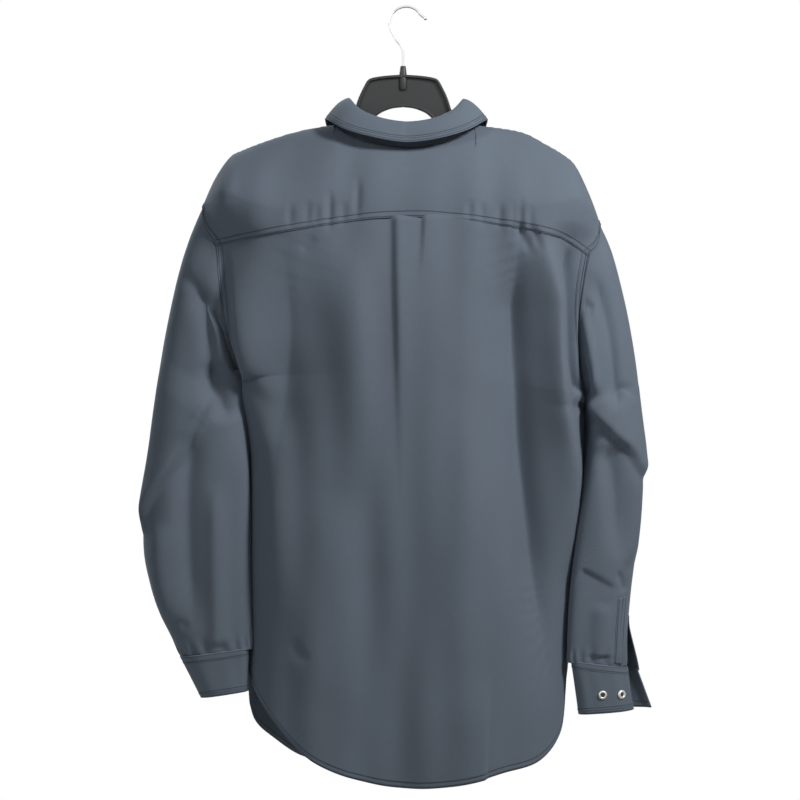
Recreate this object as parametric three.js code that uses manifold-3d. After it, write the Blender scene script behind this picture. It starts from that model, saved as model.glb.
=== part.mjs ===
// A long-sleeved welding shirt-jacket in heavy flame-retardant cotton, closed with press studs,
// hanging on a moulded coat hanger whose wire hook swivels.
// Millimetres, +Z up. The front faces -Y and the wearer's left is +X.
// The origin is where a rail bears, inside the top of the hook.
import * as THREE from "three";
import Module from "manifold-3d";
import { mergeVertices } from "three/addons/utils/BufferGeometryUtils.js";

const wasm = await Module();
wasm.setup();
const { clamp, degToRad, lerp, smoothstep } = THREE.MathUtils;

// ---- Driving dimensions ----
const CLOTH = 2.2; // stands for the cloth with its seam allowances
const STEP = CLOTH + 0.6; // from one layer to the next one sewn on it
const SEAM = 0.7; // half of the gap left at a seam
const BODY_ROUND = 2.6; // how square the body and the sleeves are, cut across
const SLEEVE_ROUND = 2.3;
const ARMHOLE_DEPTH = 44; // from the shoulder's middle plane to the armhole seam
const SEAM_FORWARD = 18; // how far the side seams hang in front of the middle plane
const SLEEVE_BACK = 18; // and the sleeves' inner edges behind it
const SHOULDER_FALL = 110; // the height over which the body reaches its full depth
const NECK_SIDE = { left: 84, right: 92 }; // where the collar crosses the shoulders
const PLACKET = [-22, 14]; // the button band's two edges
const STUD_R = 7; // a press stud's cap

// ---- Outlines of the hanging garment, as x and z ----
const curve = (...points) => new THREE.SplineCurve(points.map(([x, z]) => new THREE.Vector2(x, z)));
const SIDES = {
  left: {
    sign: 1,
    shoulder: curve([84, -147], [129, -155], [166, -166], [200, -179], [216, -188], [234, -214], [250, -249]),
    armhole: curve([250, -249], [240, -272], [231, -300], [226, -350], [213, -420], [193, -462]),
    seam: curve([193, -462], [196, -560], [197, -690], [196, -812]),
    outer: curve([250, -249], [268, -293], [284, -346], [300, -422], [310, -491], [317, -554], [324, -625],
      [325, -680], [316, -722], [304, -757], [289, -789], [277, -812]),
    inner: curve([193, -462], [205, -522], [195, -600], [194, -700], [193, -800]),
    cuff: { top: [[276, -815], [193, -803]], bottom: [[252, -862], [194, -853]] },
  },
  right: {
    sign: -1,
    shoulder: curve([-92, -148], [-146, -156], [-177, -171], [-202, -186], [-216, -200], [-233, -236],
      [-246, -271]),
    armhole: curve([-246, -271], [-237, -291], [-228, -312], [-217, -380], [-218, -446], [-228, -494]),
    seam: curve([-228, -494], [-226, -585], [-217, -690], [-208, -815]),
    outer: curve([-246, -271], [-262, -308], [-275, -354], [-285, -404], [-294, -470], [-300, -554],
      [-297, -620], [-291, -680], [-285, -730], [-281, -780], [-280, -823]),
    inner: curve([-228, -494], [-234, -562], [-219, -662], [-211, -745], [-209, -817]),
    cuff: { top: [[-281, -828], [-211, -820]], bottom: [[-288, -877], [-220, -882]] },
  },
};

// A height or a depth read off between stations. The stations run either way.
function table(...stations) {
  const sorted = [...stations].sort((a, b) => a[0] - b[0]);
  return (at) => {
    const next = sorted.findIndex(([key]) => key >= at);
    if (next === 0) return sorted[0][1];
    if (next < 0) return sorted.at(-1)[1];
    const [[a, from], [b, to]] = [sorted[next - 1], sorted[next]];
    return lerp(from, to, (at - a) / (b - a));
  };
}
// The same through a smooth curve, given as x and z pairs.
const smoothTable = (...pairs) => table(...curve(...pairs).getPoints(120).map((p) => [p.x, p.y]));
const ridgeOf = (side) => table(...SIDES[side].shoulder.getPoints(120).map((p) => [Math.abs(p.x), p.y]));
const armholeX = (side) => table(...SIDES[side].armhole.getPoints(160).map((p) => [p.y, Math.abs(p.x)]));
for (const [name, side] of Object.entries(SIDES)) {
  side.ridge = ridgeOf(name);
  side.reach = armholeX(name);
  side.top = side.armhole.points[0];
  side.underarm = side.armhole.points.at(-1);
}
const sideAt = (x) => (x >= 0 ? SIDES.left : SIDES.right);

const YOKE_SEAM = smoothTable([231, -300], [191, -287], [129, -274], [66, -262], [10, -256], [-34, -256],
  [-96, -265], [-159, -277], [-196, -287], [-228, -312]);
const FRONT_SEAM = smoothTable([240, -272], [200, -232], [150, -204], [100, -190], [72, -187], [-80, -188],
  [-108, -191], [-160, -212], [-205, -245], [-237, -291]);
const BACK_HEM = smoothTable([196, -812], [188, -846], [163, -883], [136, -916], [100, -942], [50, -960],
  [0, -968], [-60, -964], [-120, -950], [-170, -936], [-196, -906], [-204, -860], [-208, -815]);
const FRONT_HEM = smoothTable([196, -812], [195, -860], [193, -880], [186, -900], [168, -918], [128, -945],
  [80, -951], [10, -950],
  [-60, -946], [-130, -932], [-178, -906], [-203, -860], [-208, -815]);
const NECK_BACK = smoothTable([84, -147], [66, -164], [34, -175], [-4, -179], [-42, -176], [-74, -165],
  [-92, -148]);
const NECK_FRONT = smoothTable([84, -147], [76, -176], [56, -208], [26, -228], [-4, -233], [-34, -229],
  [-64, -209], [-84, -177], [-92, -148]);
const DEPTH = {
  back: smoothTable([-178, 66], [-215, 72], [-256, 78], [-330, 84], [-456, 88], [-700, 82], [-970, 66]),
  front: smoothTable([-178, 84], [-232, 86], [-300, 88], [-400, 92], [-560, 92], [-760, 82], [-950, 68]),
};

// ---- The body's surface ----
// Half of the armhole's opening at a height, front to back.
function armholeDepth({ top, underarm }, z) {
  const down = clamp((top.y - z) / (top.y - underarm.y), 0, 1);
  return ARMHOLE_DEPTH * (1 - Math.abs(2 * down - 1) ** SLEEVE_ROUND) ** (1 / SLEEVE_ROUND);
}
// How far the body stands off its middle plane. round is the share across, 0 in the middle and 1 at a side seam.
function standOff(face, x, z, round) {
  const side = sideAt(x);
  const across = Math.min(Math.abs(x) / side.reach(z), 1);
  const full = DEPTH[face](z);
  const edge = armholeDepth(side, z);
  const soft = edge + (full - edge) * (1 - across ** 3);
  const turned = edge + (full - edge) * (1 - round ** BODY_ROUND) ** (1 / BODY_ROUND);
  const fall = SHOULDER_FALL * (1 - (Math.abs(x) / side.top.x) ** 4) + 1;
  const down = clamp((side.ridge(Math.abs(x)) - z) / fall, 0, 1);
  const power = lerp(2, 1.5, smoothstep(Math.abs(x), 70, 140));
  const rise = (1 - (1 - down) ** power) ** (1 / power);
  return lerp(soft, turned, smoothstep(-z, 320, 450)) * rise;
}
// Below the underarm the side seams swing forward, so that the sleeves' inner edges lie behind them.
const seamForward = (x, z, round) =>
  SEAM_FORWARD * round ** 6 * smoothstep(sideAt(x).underarm.y - z, 0, 70);
const onFace = (face, x, z, round) =>
  new THREE.Vector3(x, standOff(face, x, z, round) * (face === "back" ? 1 : -1) - seamForward(x, z, round),
    z);
// Above the seams the surface rolls over the shoulders: drop is the distance below the ridge, negative in front.
function overShoulder(x, drop) {
  const z = sideAt(x).ridge(Math.abs(x)) - Math.abs(drop);
  return onFace(drop >= 0 ? "back" : "front", x, z, Math.min(Math.abs(x) / 250, 1));
}

// A body panel: straight across in x between its two side edges, and in z a patch between its four edges.
// w runs from the wearer's left to the right and v from the top seam down to the hem.
const ARMHOLE_SHARE = 5 / 16; // the armhole's share of a panel's side edge
function sideEdge({ armhole, seam }, start) {
  return (v) => v < ARMHOLE_SHARE
    ? armhole.getPoint(lerp(start, 1, v / ARMHOLE_SHARE))
    : seam.getPoint((v - ARMHOLE_SHARE) / (1 - ARMHOLE_SHARE));
}
function bodyPanel(face, top, hem, startLeft, startRight) {
  const [left, right] = [sideEdge(SIDES.left, startLeft), sideEdge(SIDES.right, startRight)];
  const corners = [left(0), right(0), left(1), right(1)];
  const xAt = (w, v) => lerp(left(v).x, right(v).x, w);
  const topRise = (w) => top(xAt(w, 0)) - lerp(corners[0].y, corners[1].y, w);
  const hemDrop = (w) => hem(xAt(w, 1)) - lerp(corners[2].y, corners[3].y, w);
  const zAt = (w, v) => lerp(left(v).y, right(v).y, w) + topRise(w) * (1 - v) + hemDrop(w) * v ** 3;
  const point = (w, v) => onFace(face, xAt(w, v), zAt(w, v), Math.min(Math.abs(2 * w - 1), 1));
  const shareAt = (x, v) => (left(v).x - x) / (left(v).x - right(v).x);
  // The surface at a given x and z: v is found by halving.
  const at = (x, z) => {
    let [low, high] = [0, 1];
    for (let i = 0; i < 24; i++) {
      const v = (low + high) / 2;
      if (zAt(shareAt(x, v), v) > z) low = v;
      else high = v;
    }
    return point(shareAt(x, low), low);
  };
  return { point, shareAt, at };
}
const BACK = bodyPanel("back", YOKE_SEAM, BACK_HEM, 0.4, 0.4);
const frontTop = (x) => (x < 74 && x > -82 ? Math.min(NECK_FRONT(x), FRONT_SEAM(x)) : FRONT_SEAM(x));
const FRONT = bodyPanel("front", frontTop, FRONT_HEM, 0.2, 0.2);
// The share across that spaces the columns evenly round the turn into a side seam.
const turned = (angle) => (1 - Math.sign(Math.cos(angle)) * Math.abs(Math.cos(angle)) ** (2 / BODY_ROUND)) / 2;
const SEAM_ANGLE = 0.003;

// ---- Making closed solids ----
function bare(geometry) {
  geometry.deleteAttribute("normal");
  geometry.deleteAttribute("uv");
  return mergeVertices(geometry, 1e-4);
}
function solid(geometry) {
  const g = bare(geometry);
  return new wasm.Manifold(new wasm.Mesh({
    numProp: 3, vertProperties: g.attributes.position.array, triVerts: new Uint32Array(g.index.array),
  }));
}
function geometryOf(manifold) {
  const { vertProperties, triVerts, numProp, numVert } = manifold.getMesh();
  const positions = new Float32Array(numVert * 3);
  for (let i = 0; i < numVert; i++) positions.set(vertProperties.subarray(i * numProp, i * numProp + 3),
    i * 3);
  const g = new THREE.BufferGeometry();
  g.setAttribute("position", new THREE.BufferAttribute(positions, 3));
  g.setIndex(new THREE.BufferAttribute(triVerts, 1));
  return g;
}
function normalOf(surface, u, v) {
  const step = 1e-3;
  const du = surface(Math.min(u + step, 1), v).sub(surface(Math.max(u - step, 0), v));
  const dv = surface(u, Math.min(v + step, 1)).sub(surface(u, Math.max(v - step, 0)));
  return dv.cross(du).normalize();
}
// Cloth laid on a surface, its outer face lifted off it. Seen from outside, u runs right and v down.
function sheet(surface, columns, rows, { lift = () => 0, thick = CLOTH } = {}) {
  const g = bare(new THREE.BoxGeometry(1, 1, 1, columns, rows, 1));
  const p = g.attributes.position;
  for (let i = 0; i < p.count; i++) {
    const [u, v] = [p.getX(i) + 0.5, 0.5 - p.getY(i)];
    const at = surface(u, v).addScaledVector(normalOf(surface, u, v), lift(u, v) - (0.5 - p.getZ(i)) * thick);
    p.setXYZ(i, at.x, at.y, at.z);
  }
  return g;
}
// A tube of cloth: a lathed ring whose turn and height become the surface's angle and length.
function tube(surface, around, rows) {
  const profile = [];
  for (let i = 0; i <= rows; i++) profile.push(new THREE.Vector2(2, i / rows));
  for (let i = rows; i >= 0; i--) profile.push(new THREE.Vector2(1, i / rows));
  profile.push(new THREE.Vector2(2, 0));
  const g = bare(new THREE.LatheGeometry(profile, around));
  const p = g.attributes.position;
  for (let i = 0; i < p.count; i++) {
    const turn = Math.atan2(p.getX(i), p.getZ(i));
    const depth = (2 - Math.hypot(p.getX(i), p.getZ(i))) * CLOTH;
    const at = surface(turn, p.getY(i), depth);
    p.setXYZ(i, at.x, at.y, at.z);
  }
  return g;
}

// ---- Materials ----
const finish = (color, roughness, metalness) => new THREE.MeshStandardMaterial({ color, roughness,
  metalness });
const cotton = finish(0x59626c, 0.85, 0);
const plastic = finish(0x141415, 0.4, 0);
const chrome = finish(0xd0d2d4, 0.12, 1);
const tape = finish(0x1d1f22, 0.8, 0);

const garment = new THREE.Group();
function add(name, geometry, material) {
  const mesh = new THREE.Mesh(geometry, material);
  mesh.name = name;
  garment.add(mesh);
}

// ---- Hook: one length of wire, bent, with an upset head below and a ball on its tip ----
const WIRE_R = 1.75;
const HOOK_R = 21; // to the wire's middle
const HOOK_X = -4;
const HEAD_Z = -97;
function hookWire() {
  const arc = [];
  for (let degrees = -10; degrees <= 150; degrees += 20) {
    const angle = degToRad(degrees);
    arc.push([HOOK_X + HOOK_R * Math.cos(angle), WIRE_R - HOOK_R + HOOK_R * Math.sin(angle)]);
  }
  const route = [[0, HEAD_Z], [0, -75], [0, -57], [2, -49], [11, -36], ...arc, [-28, -13]];
  const path = new THREE.CatmullRomCurve3(route.map(([x, z]) => new THREE.Vector3(x, 0, z)), false,
    "centripetal");
  const section = new THREE.Shape().absarc(0, 0, WIRE_R, 0, 2 * Math.PI);
  const wire = solid(new THREE.ExtrudeGeometry(section, {
    steps: 48, extrudePath: path, curveSegments: 5, bevelEnabled: false,
  }));
  const ball = new THREE.SphereGeometry(2.6, 10, 8).translate(-28, 0, -13);
  const head = new THREE.CylinderGeometry(3.2, 3.2, 2, 12).rotateX(Math.PI / 2).translate(0, 0, HEAD_Z);
  return geometryOf(wire.add(solid(ball)).add(solid(head)));
}
add("hook_wire", hookWire(), chrome);

// ---- Hanger: a web with a raised rim, a boss for the hook, and two arms ----
const HANGER_THICK = 11;
const WEB = 3.2;
const RIM = 3.5;
const BOSS_TOP = -73;
const HANGER_HALF = [[0, -84], [22, -85.5], [40, -88.5], [46, -92], [50, -101], [56, -114], [61, -130],
  [67, -150],
  [79, -169], [104, -174], [138, -181], [166, -191], [184, -200], [190, -208], [186, -215], [160, -208],
  [123, -199], [90, -190], [60, -172], [36, -138], [18, -126]];
const HANGER_OUTLINE = [...HANGER_HALF, [0, -124], ...HANGER_HALF.slice(1).reverse().map(([x, z]) => [-x,
  z])];
// The outline drawn in by a rim's width: each point moves along the normal of its two neighbours' chord.
const inward = (points, by) => points.map(([x, z], i) => {
  const [[ax, az], [bx, bz]] = [points.at(i - 1), points[(i + 1) % points.length]];
  const length = Math.hypot(bx - ax, bz - az);
  return [x + (by * (bz - az)) / length, z - (by * (bx - ax)) / length];
});
function plate(points, depth, y) {
  const shape = new THREE.Shape(points.map(([x, z]) => new THREE.Vector2(x, z)));
  return solid(new THREE.ExtrudeGeometry(shape, { depth, bevelEnabled: false }).rotateX(Math.PI / 2)
    .translate(0, y + depth, 0));
}
const upright = (bottomR, topR, low, high) =>
  solid(new THREE.CylinderGeometry(topR, bottomR, high - low, 16).rotateX(Math.PI / 2)
    .translate(0, 0, (low + high) / 2));
function hangerBody() {
  const web = inward(HANGER_OUTLINE, RIM);
  return geometryOf(plate(HANGER_OUTLINE, HANGER_THICK, -HANGER_THICK / 2)
    .subtract(plate(web, HANGER_THICK, WEB / 2))
    .subtract(plate(web, HANGER_THICK, -WEB / 2 - HANGER_THICK))
    .add(upright(5.4, 3.6, -90, BOSS_TOP))
    .add(upright(5.4, 5.4, -103, -88))
    .subtract(upright(WIRE_R + 0.35, WIRE_R + 0.35, -98, BOSS_TOP + 1))
    .subtract(solid(new THREE.BoxGeometry(8, 12, 9).translate(0, -2.5, HEAD_Z))));
}
add("hanger_body", hangerBody(), plastic);

// ---- Back panel and yoke ----
add("back_panel", sheet((u, v) =>
  BACK.point(turned(lerp(SEAM_ANGLE, Math.PI - SEAM_ANGLE, u)), lerp(0.001, 1, v)), 24, 16), cotton);

// The yoke: its top edge runs down the front seam, round the neck and back out along the other front seam.
const NECK_FROM = 0.3;
const NECK_TO = 0.7;
const FRONT_NECK_X = { left: 74, right: -82 };
function yokeTop(w) {
  if (w < NECK_FROM || w > NECK_TO) {
    const [end, share, neck] = w < 0.5 ? [240, w / NECK_FROM, FRONT_NECK_X.left]
      : [-237, (1 - w) / (1 - NECK_TO), FRONT_NECK_X.right];
    const x = lerp(end, neck, share);
    return new THREE.Vector2(x, FRONT_SEAM(x) - sideAt(x).ridge(Math.abs(x)));
  }
  // Round the neck: from the front seam up to the ridge, along the back of the neck, and down again.
  const turn = (w - NECK_FROM) / (NECK_TO - NECK_FROM);
  const [side, part] = turn < 0.5 ? ["left", turn * 2] : ["right", (1 - turn) * 2];
  const { sign } = SIDES[side];
  const neckX = sign * NECK_SIDE[side];
  const front = 0.25;
  if (part < front) {
    const x = lerp(FRONT_NECK_X[side], neckX, Math.sin((part / front) * (Math.PI / 2)));
    const drop = lerp(FRONT_SEAM(FRONT_NECK_X[side]) - SIDES[side].ridge(0), 0, part / front);
    return new THREE.Vector2(x, drop);
  }
  const x = lerp(neckX, -4, ((part - front) / (1 - front)) ** 1.3);
  return new THREE.Vector2(x, sideAt(x).ridge(Math.abs(x)) - NECK_BACK(x));
}
function yokeSide({ armhole, ridge, sign }) {
  const low = armhole.getPoint(0.4);
  const high = armhole.getPoint(0.2);
  const [x0, x1] = [Math.abs(high.x), Math.abs(low.x)];
  const peak = Math.abs(armhole.points[0].x);
  return (v) => {
    const x = v < 0.35 ? lerp(x0, peak, Math.sin((v / 0.35) * (Math.PI / 2)))
      : lerp(peak, x1, 1 - Math.cos(((v - 0.35) / 0.65) * (Math.PI / 2)));
    const drop = v < 0.35 ? lerp(high.y - ridge(x0), 0, v / 0.35) : lerp(0, ridge(x1) - low.y,
      (v - 0.35) / 0.65);
    return new THREE.Vector2(sign * x, drop);
  };
}
const [yokeLeft, yokeRight] = [yokeSide(SIDES.left), yokeSide(SIDES.right)];
function yokeBottom(w) {
  const x = lerp(yokeLeft(1).x, yokeRight(1).x, w);
  return new THREE.Vector2(x, sideAt(x).ridge(Math.abs(x)) - YOKE_SEAM(x));
}
function yokePoint(w, v) {
  const at = yokeTop(w).multiplyScalar(1 - v).addScaledVector(yokeBottom(w), v);
  at.addScaledVector(yokeLeft(v), 1 - w).addScaledVector(yokeRight(v), w);
  at.addScaledVector(yokeTop(0), (w - 1) * (1 - v)).addScaledVector(yokeTop(1), -w * (1 - v));
  at.addScaledVector(yokeBottom(0), (w - 1) * v).addScaledVector(yokeBottom(1), -w * v);
  return overShoulder(at.x, at.y);
}
const yokeSurface = (u, v) => yokePoint(lerp(0.006, 0.994, u), lerp(0.018, 0.985, v));
const YOKE_GRID = [26, 10];
add("back_yoke", sheet(yokeSurface, ...YOKE_GRID), cotton);
// The lining backs the yoke below the shoulders' ridge.
function liningSurface(u, v) {
  const shoulder = smoothstep(Math.abs(2 * u - 1), 0.15, 0.4);
  return yokeSurface(lerp(0.08, 0.92, u), lerp(lerp(0.08, 0.6, shoulder), 0.94, v));
}
add("yoke_lining", sheet(liningSurface, 26, 6, { lift: () => -STEP - 2 * SEAM }), cotton);
const labelSurface = (u, v) => yokePoint(lerp(0.44, 0.56, u), lerp(0.25, 0.6, v));
add("neck_label", sheet(labelSurface, 4, 2, { lift: () => -2 * STEP - 4 * SEAM, thick: 0.8 }), tape);

// ---- Fronts and button band. The left front laps over the right one. ----
const PANEL_V = [0.002, 1];
const BAND_V = [0.008, 0.998];
// A front from a straight edge at x to its side seam. Seen from outside, the wearer's right is on the left.
function frontSurface(edgeX, side) {
  const seamW = turned(side === "left" ? SEAM_ANGLE : Math.PI - SEAM_ANGLE);
  return (u, v) => {
    const down = lerp(...PANEL_V, v);
    const edgeW = FRONT.shareAt(edgeX, down);
    const share = side === "left" ? u : 1 - u;
    const angle = lerp(Math.acos(1 - 2 * edgeW), Math.acos(1 - 2 * seamW), share);
    return FRONT.point((1 - Math.cos(angle)) / 2, down);
  };
}
add("front_left", sheet(frontSurface(PLACKET[1] + SEAM, "left"), 12, 16), cotton);
add("front_right", sheet(frontSurface(PLACKET[0] - SEAM, "right"), 12, 16), cotton);
function bandSurface(u, v) {
  const down = lerp(...BAND_V, v);
  return FRONT.point(FRONT.shareAt(lerp(PLACKET[0], PLACKET[1], u), down), down);
}
add("placket_right", sheet(bandSurface, 2, 16), cotton);
add("placket_left", sheet(bandSurface, 2, 16, { lift: () => STEP }), cotton);

// ---- Collar: a stand round the neck and a fall that turns down over it ----
const STAND = 29;
const NECK_MID = (NECK_SIDE.left - NECK_SIDE.right) / 2;
// The neckline at a turn from the middle of the back, positive towards the wearer's left.
function neckline(turn) {
  const half = (NECK_SIDE.left + NECK_SIDE.right) / 2 - 0.5;
  const x = NECK_MID + half * Math.sin(turn);
  const back = Math.cos(turn) >= 0;
  const z = back ? NECK_BACK(x) : NECK_FRONT(x);
  return onFace(back ? "back" : "front", x, z, 0);
}
function standPoint(turn, up) {
  const lean = new THREE.Vector3(-13 * Math.sin(turn), 5 * Math.cos(turn), STAND - 1);
  return neckline(turn).addScaledVector(lean, up);
}
const STAND_END = degToRad(187); // each end of the stand passes the middle of the front
const standTurn = (u) => lerp(STAND_END, -STAND_END, u);
const overlapLift = (u) => STEP * (1 - smoothstep(u, 0.03, 0.08));
add("collar_stand", sheet((u, v) => standPoint(standTurn(u), lerp(1, 0.05, v)), 44, 1, { lift: overlapLift }),
  cotton);

const FALL_END = degToRad(166); // the collar points stop short of the middle
const FALL_OUT = 30;
const FALL_DOWN = 23;
function fallPoint(turn, v) {
  const front = smoothstep(Math.abs(turn), degToRad(100), FALL_END);
  const out = FALL_OUT * v ** 0.8 + 13 * front * v ** 0.3;
  const down = (FALL_DOWN + 34 * front) * v ** 1.35;
  const rise = CLOTH + 1 + 3 * Math.abs(Math.sin(turn)); // clears the stand's sloping top edge
  const at = standPoint(turn, 1);
  return at.add(new THREE.Vector3(Math.sin(turn) * out, Math.cos(turn) * out * (1 - 0.35 * front),
    rise - down));
}
add("collar_fall", sheet((u, v) => fallPoint(lerp(FALL_END, -FALL_END, u), v), 32, 4), cotton);

// ---- Sleeves, set into the armholes ----
const SLEEVE_DEPTH = {
  left: table([0, ARMHOLE_DEPTH], [0.12, 50], [0.4, 44], [0.75, 39], [1, 33]),
  right: table([0, ARMHOLE_DEPTH], [0.12, 54], [0.4, 56], [0.75, 44], [1, 33]),
};
const power = (value, exponent) => Math.sign(value) * Math.abs(value) ** exponent;
// A sleeve's surface: turn 0 is its outer edge and a quarter turn is the back, s runs from armhole to cuff.
function sleevePoint(side, turn, s, inset = 0) {
  const [outer, inner] = [side.outer.getPoint(s), side.inner.getPoint(s)];
  const c = power(Math.cos(turn), 2 / SLEEVE_ROUND);
  const at = outer.clone().lerp(inner, (1 - c) / 2);
  const chord = side.top.clone().lerp(side.underarm, (1 - c) / 2);
  const bow = side.sign * Math.max(side.reach(chord.y), side.reach(at.y)) - chord.x;
  const half = outer.distanceTo(inner) / 2;
  const depth = SLEEVE_DEPTH[side.sign > 0 ? "left" : "right"](s);
  const y = depth * power(Math.sin(turn), 2 / SLEEVE_ROUND);
  const middle = outer.clone().lerp(inner, 0.5);
  at.lerp(middle, inset / half);
  const back = SLEEVE_BACK * ((1 - c) / 2) ** 6 * smoothstep(s, 0.16, 0.46);
  return new THREE.Vector3(at.x + bow * (1 - smoothstep(s, 0, 0.3)), y * (1 - inset / depth) + back, at.y);
}
for (const [name, side] of Object.entries(SIDES)) {
  const surface = (turn, height, inset) => sleevePoint(side, side.sign * turn, lerp(0.996, 0.016, height),
    inset);
  add("sleeve_" + name, tube(surface, 18, 14), cotton);
}

// ---- Cuffs: the left one is closed, the right one is open at its outer edge ----
const CUFF_DEPTH = [33, 29];
function cuffPoint({ cuff, sign }, turn, v, flare = 0) {
  const [[ox, oz], [ix, iz]] = [0, 1].map((i) => [0, 1].map((k) => lerp(cuff.top[i][k], cuff.bottom[i][k],
    v)));
  const c = power(Math.cos(turn), 2 / SLEEVE_ROUND);
  const y = lerp(...CUFF_DEPTH, v) * power(Math.sin(turn), 2 / SLEEVE_ROUND);
  const back = SLEEVE_BACK * (1 - 0.35 * v) * ((1 - c) / 2) ** 6;
  return new THREE.Vector3(lerp(ix, ox, (1 + c) / 2) + sign * flare, y + back, lerp(iz, oz, (1 + c) / 2));
}
const CUFF_TURNS = { left: [-110, 290], right: [346, 14] };
const leftCuff = (u, v) => cuffPoint(SIDES.left, degToRad(lerp(...CUFF_TURNS.left, u)), lerp(0.02, 1, v));
const rightCuff = (u, v) =>
  cuffPoint(SIDES.right, degToRad(lerp(...CUFF_TURNS.right, u)), lerp(0.02, 1, v),
    22 * v * (1 - smoothstep(u, 0, 0.15)));
add("cuff_left", sheet(leftCuff, 26, 1, { lift: (u) => STEP * smoothstep(u, 0.8, 0.9) }), cotton);
add("cuff_right", sheet(rightCuff, 24, 2), cotton);

// The vent facings: a strip on each sleeve above its cuff's opening.
const VENTS = { left: { turns: [-62, -38], s: [0.78, 0.985] }, right: { turns: [62, 38], s: [0.8, 0.985] } };
for (const [name, { turns, s }] of Object.entries(VENTS)) {
  const surface = (u, v) => sleevePoint(SIDES[name], degToRad(lerp(...turns, u)), lerp(...s, v));
  add("sleeve_vent_" + name, sheet(surface, 3, 8, { lift: () => STEP }), cotton);
}

// ---- Chest pockets and their flaps ----
const POCKET = { width: 104, height: 122, top: -335, middle: { left: 92, right: -112 } };
const FLAP = { width: 110, height: 42, top: -322 };
const onFront = (middle, { width, height, top }, point = 0) => (u, v) => {
  const x = middle + lerp(-0.5, 0.5, u) * width;
  const drop = v * (height + point * (1 - Math.abs(2 * u - 1)));
  return FRONT.at(x, top - drop);
};
// The flap is sewn to the front above the pocket and steps out over it.
const flapLift = (_u, v) => STEP + SEAM + (STEP + 2) * smoothstep(v, 0.05, 0.3);
for (const [name, middle] of Object.entries(POCKET.middle)) {
  const pocket = onFront(middle, POCKET);
  const flap = onFront(middle, FLAP, 10);
  add("pocket_" + name, sheet(pocket, 6, 6, { lift: () => STEP + SEAM }), cotton);
  add("pocket_flap_" + name, sheet(flap, 6, 4, { lift: flapLift }), cotton);
}

// ---- Press studs ----
const STUD_SHAPES = {
  cap: [[0, 0], [STUD_R, 0], [STUD_R, 0.9], [5.4, 2], [0, 2.3]],
  post: [[0, 0], [5.6, 0], [5.6, 0.7], [4.2, 1.3], [2.4, 1.3], [2.2, 0.5], [0, 0.5]],
  stud: [[0, 0], [5.8, 0], [5.8, 0.8], [4.4, 1.9], [3.2, 1.9], [2.6, 0.9], [0, 0.9]],
};
// A lathed piece set on a surface at u, v: height is how far off the surface its base lies, negative inside.
function press(name, kind, surface, u, v, height) {
  const g = new THREE.LatheGeometry(STUD_SHAPES[kind].map(([r, h]) => new THREE.Vector2(r, h)), 12);
  const normal = normalOf(surface, u, v);
  const facing = height < 0 ? normal.clone().negate() : normal;
  g.applyQuaternion(new THREE.Quaternion().setFromUnitVectors(new THREE.Vector3(0, 1, 0), facing));
  const at = surface(u, v).addScaledVector(normal, height);
  add(name, g.translate(at.x, at.y, at.z), chrome);
}
const OUTSIDE = STEP + 0.4; // the base of a piece on the outer of two layers
const INSIDE = -CLOTH - 0.4; // and of one behind the inner layer
const FRONT_STUDS = 6;
for (let i = 1; i <= FRONT_STUDS; i++) {
  const v = lerp(0.08, 0.86, (i - 1) / (FRONT_STUDS - 1));
  press(`front_snap_${i}_cap`, "cap", bandSurface, 0.5, v, OUTSIDE);
  press(`front_snap_${i}_post`, "post", bandSurface, 0.5, v, INSIDE);
}
const standFront = (u, v) => standPoint(Math.PI + lerp(0.1, -0.1, u), lerp(1, 0.1, v));
press("collar_snap_cap", "cap", standFront, 0.5, 0.5, OUTSIDE + 0.6);
press("collar_snap_post", "post", standFront, 0.5, 0.5, INSIDE - 0.6);
for (const [name, middle] of Object.entries(POCKET.middle)) {
  const flap = onFront(middle, FLAP, 10);
  press(`pocket_snap_${name}_cap`, "cap", flap, 0.5, 0.68, 2 * STEP + SEAM + 2.5);
  press(`pocket_snap_${name}_stud`, "stud", flap, 0.5, 0.68, STEP + SEAM + 0.3);
}
// The left cuff is shut: its cap is on the outer lap, its spare stud beside it. The right cuff hangs open.
press("cuff_snap_left_cap", "cap", leftCuff, 0.95, 0.5, OUTSIDE);
press("cuff_snap_left_post", "post", leftCuff, 0.05, 0.5, INSIDE - 0.6);
press("cuff_snap_left_stud", "stud", leftCuff, 0.16, 0.5, 0.4);
press("cuff_snap_right_cap", "cap", rightCuff, 0.08, 0.6, 0.5);
press("cuff_snap_right_stud_1", "stud", rightCuff, 0.757, 0.6, 0.5);
press("cuff_snap_right_stud_2", "stud", rightCuff, 0.872, 0.6, 0.5);

export default garment;
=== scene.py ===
import json
import math

import bmesh
import bpy
import numpy as np
from mathutils import Matrix, Vector


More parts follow.
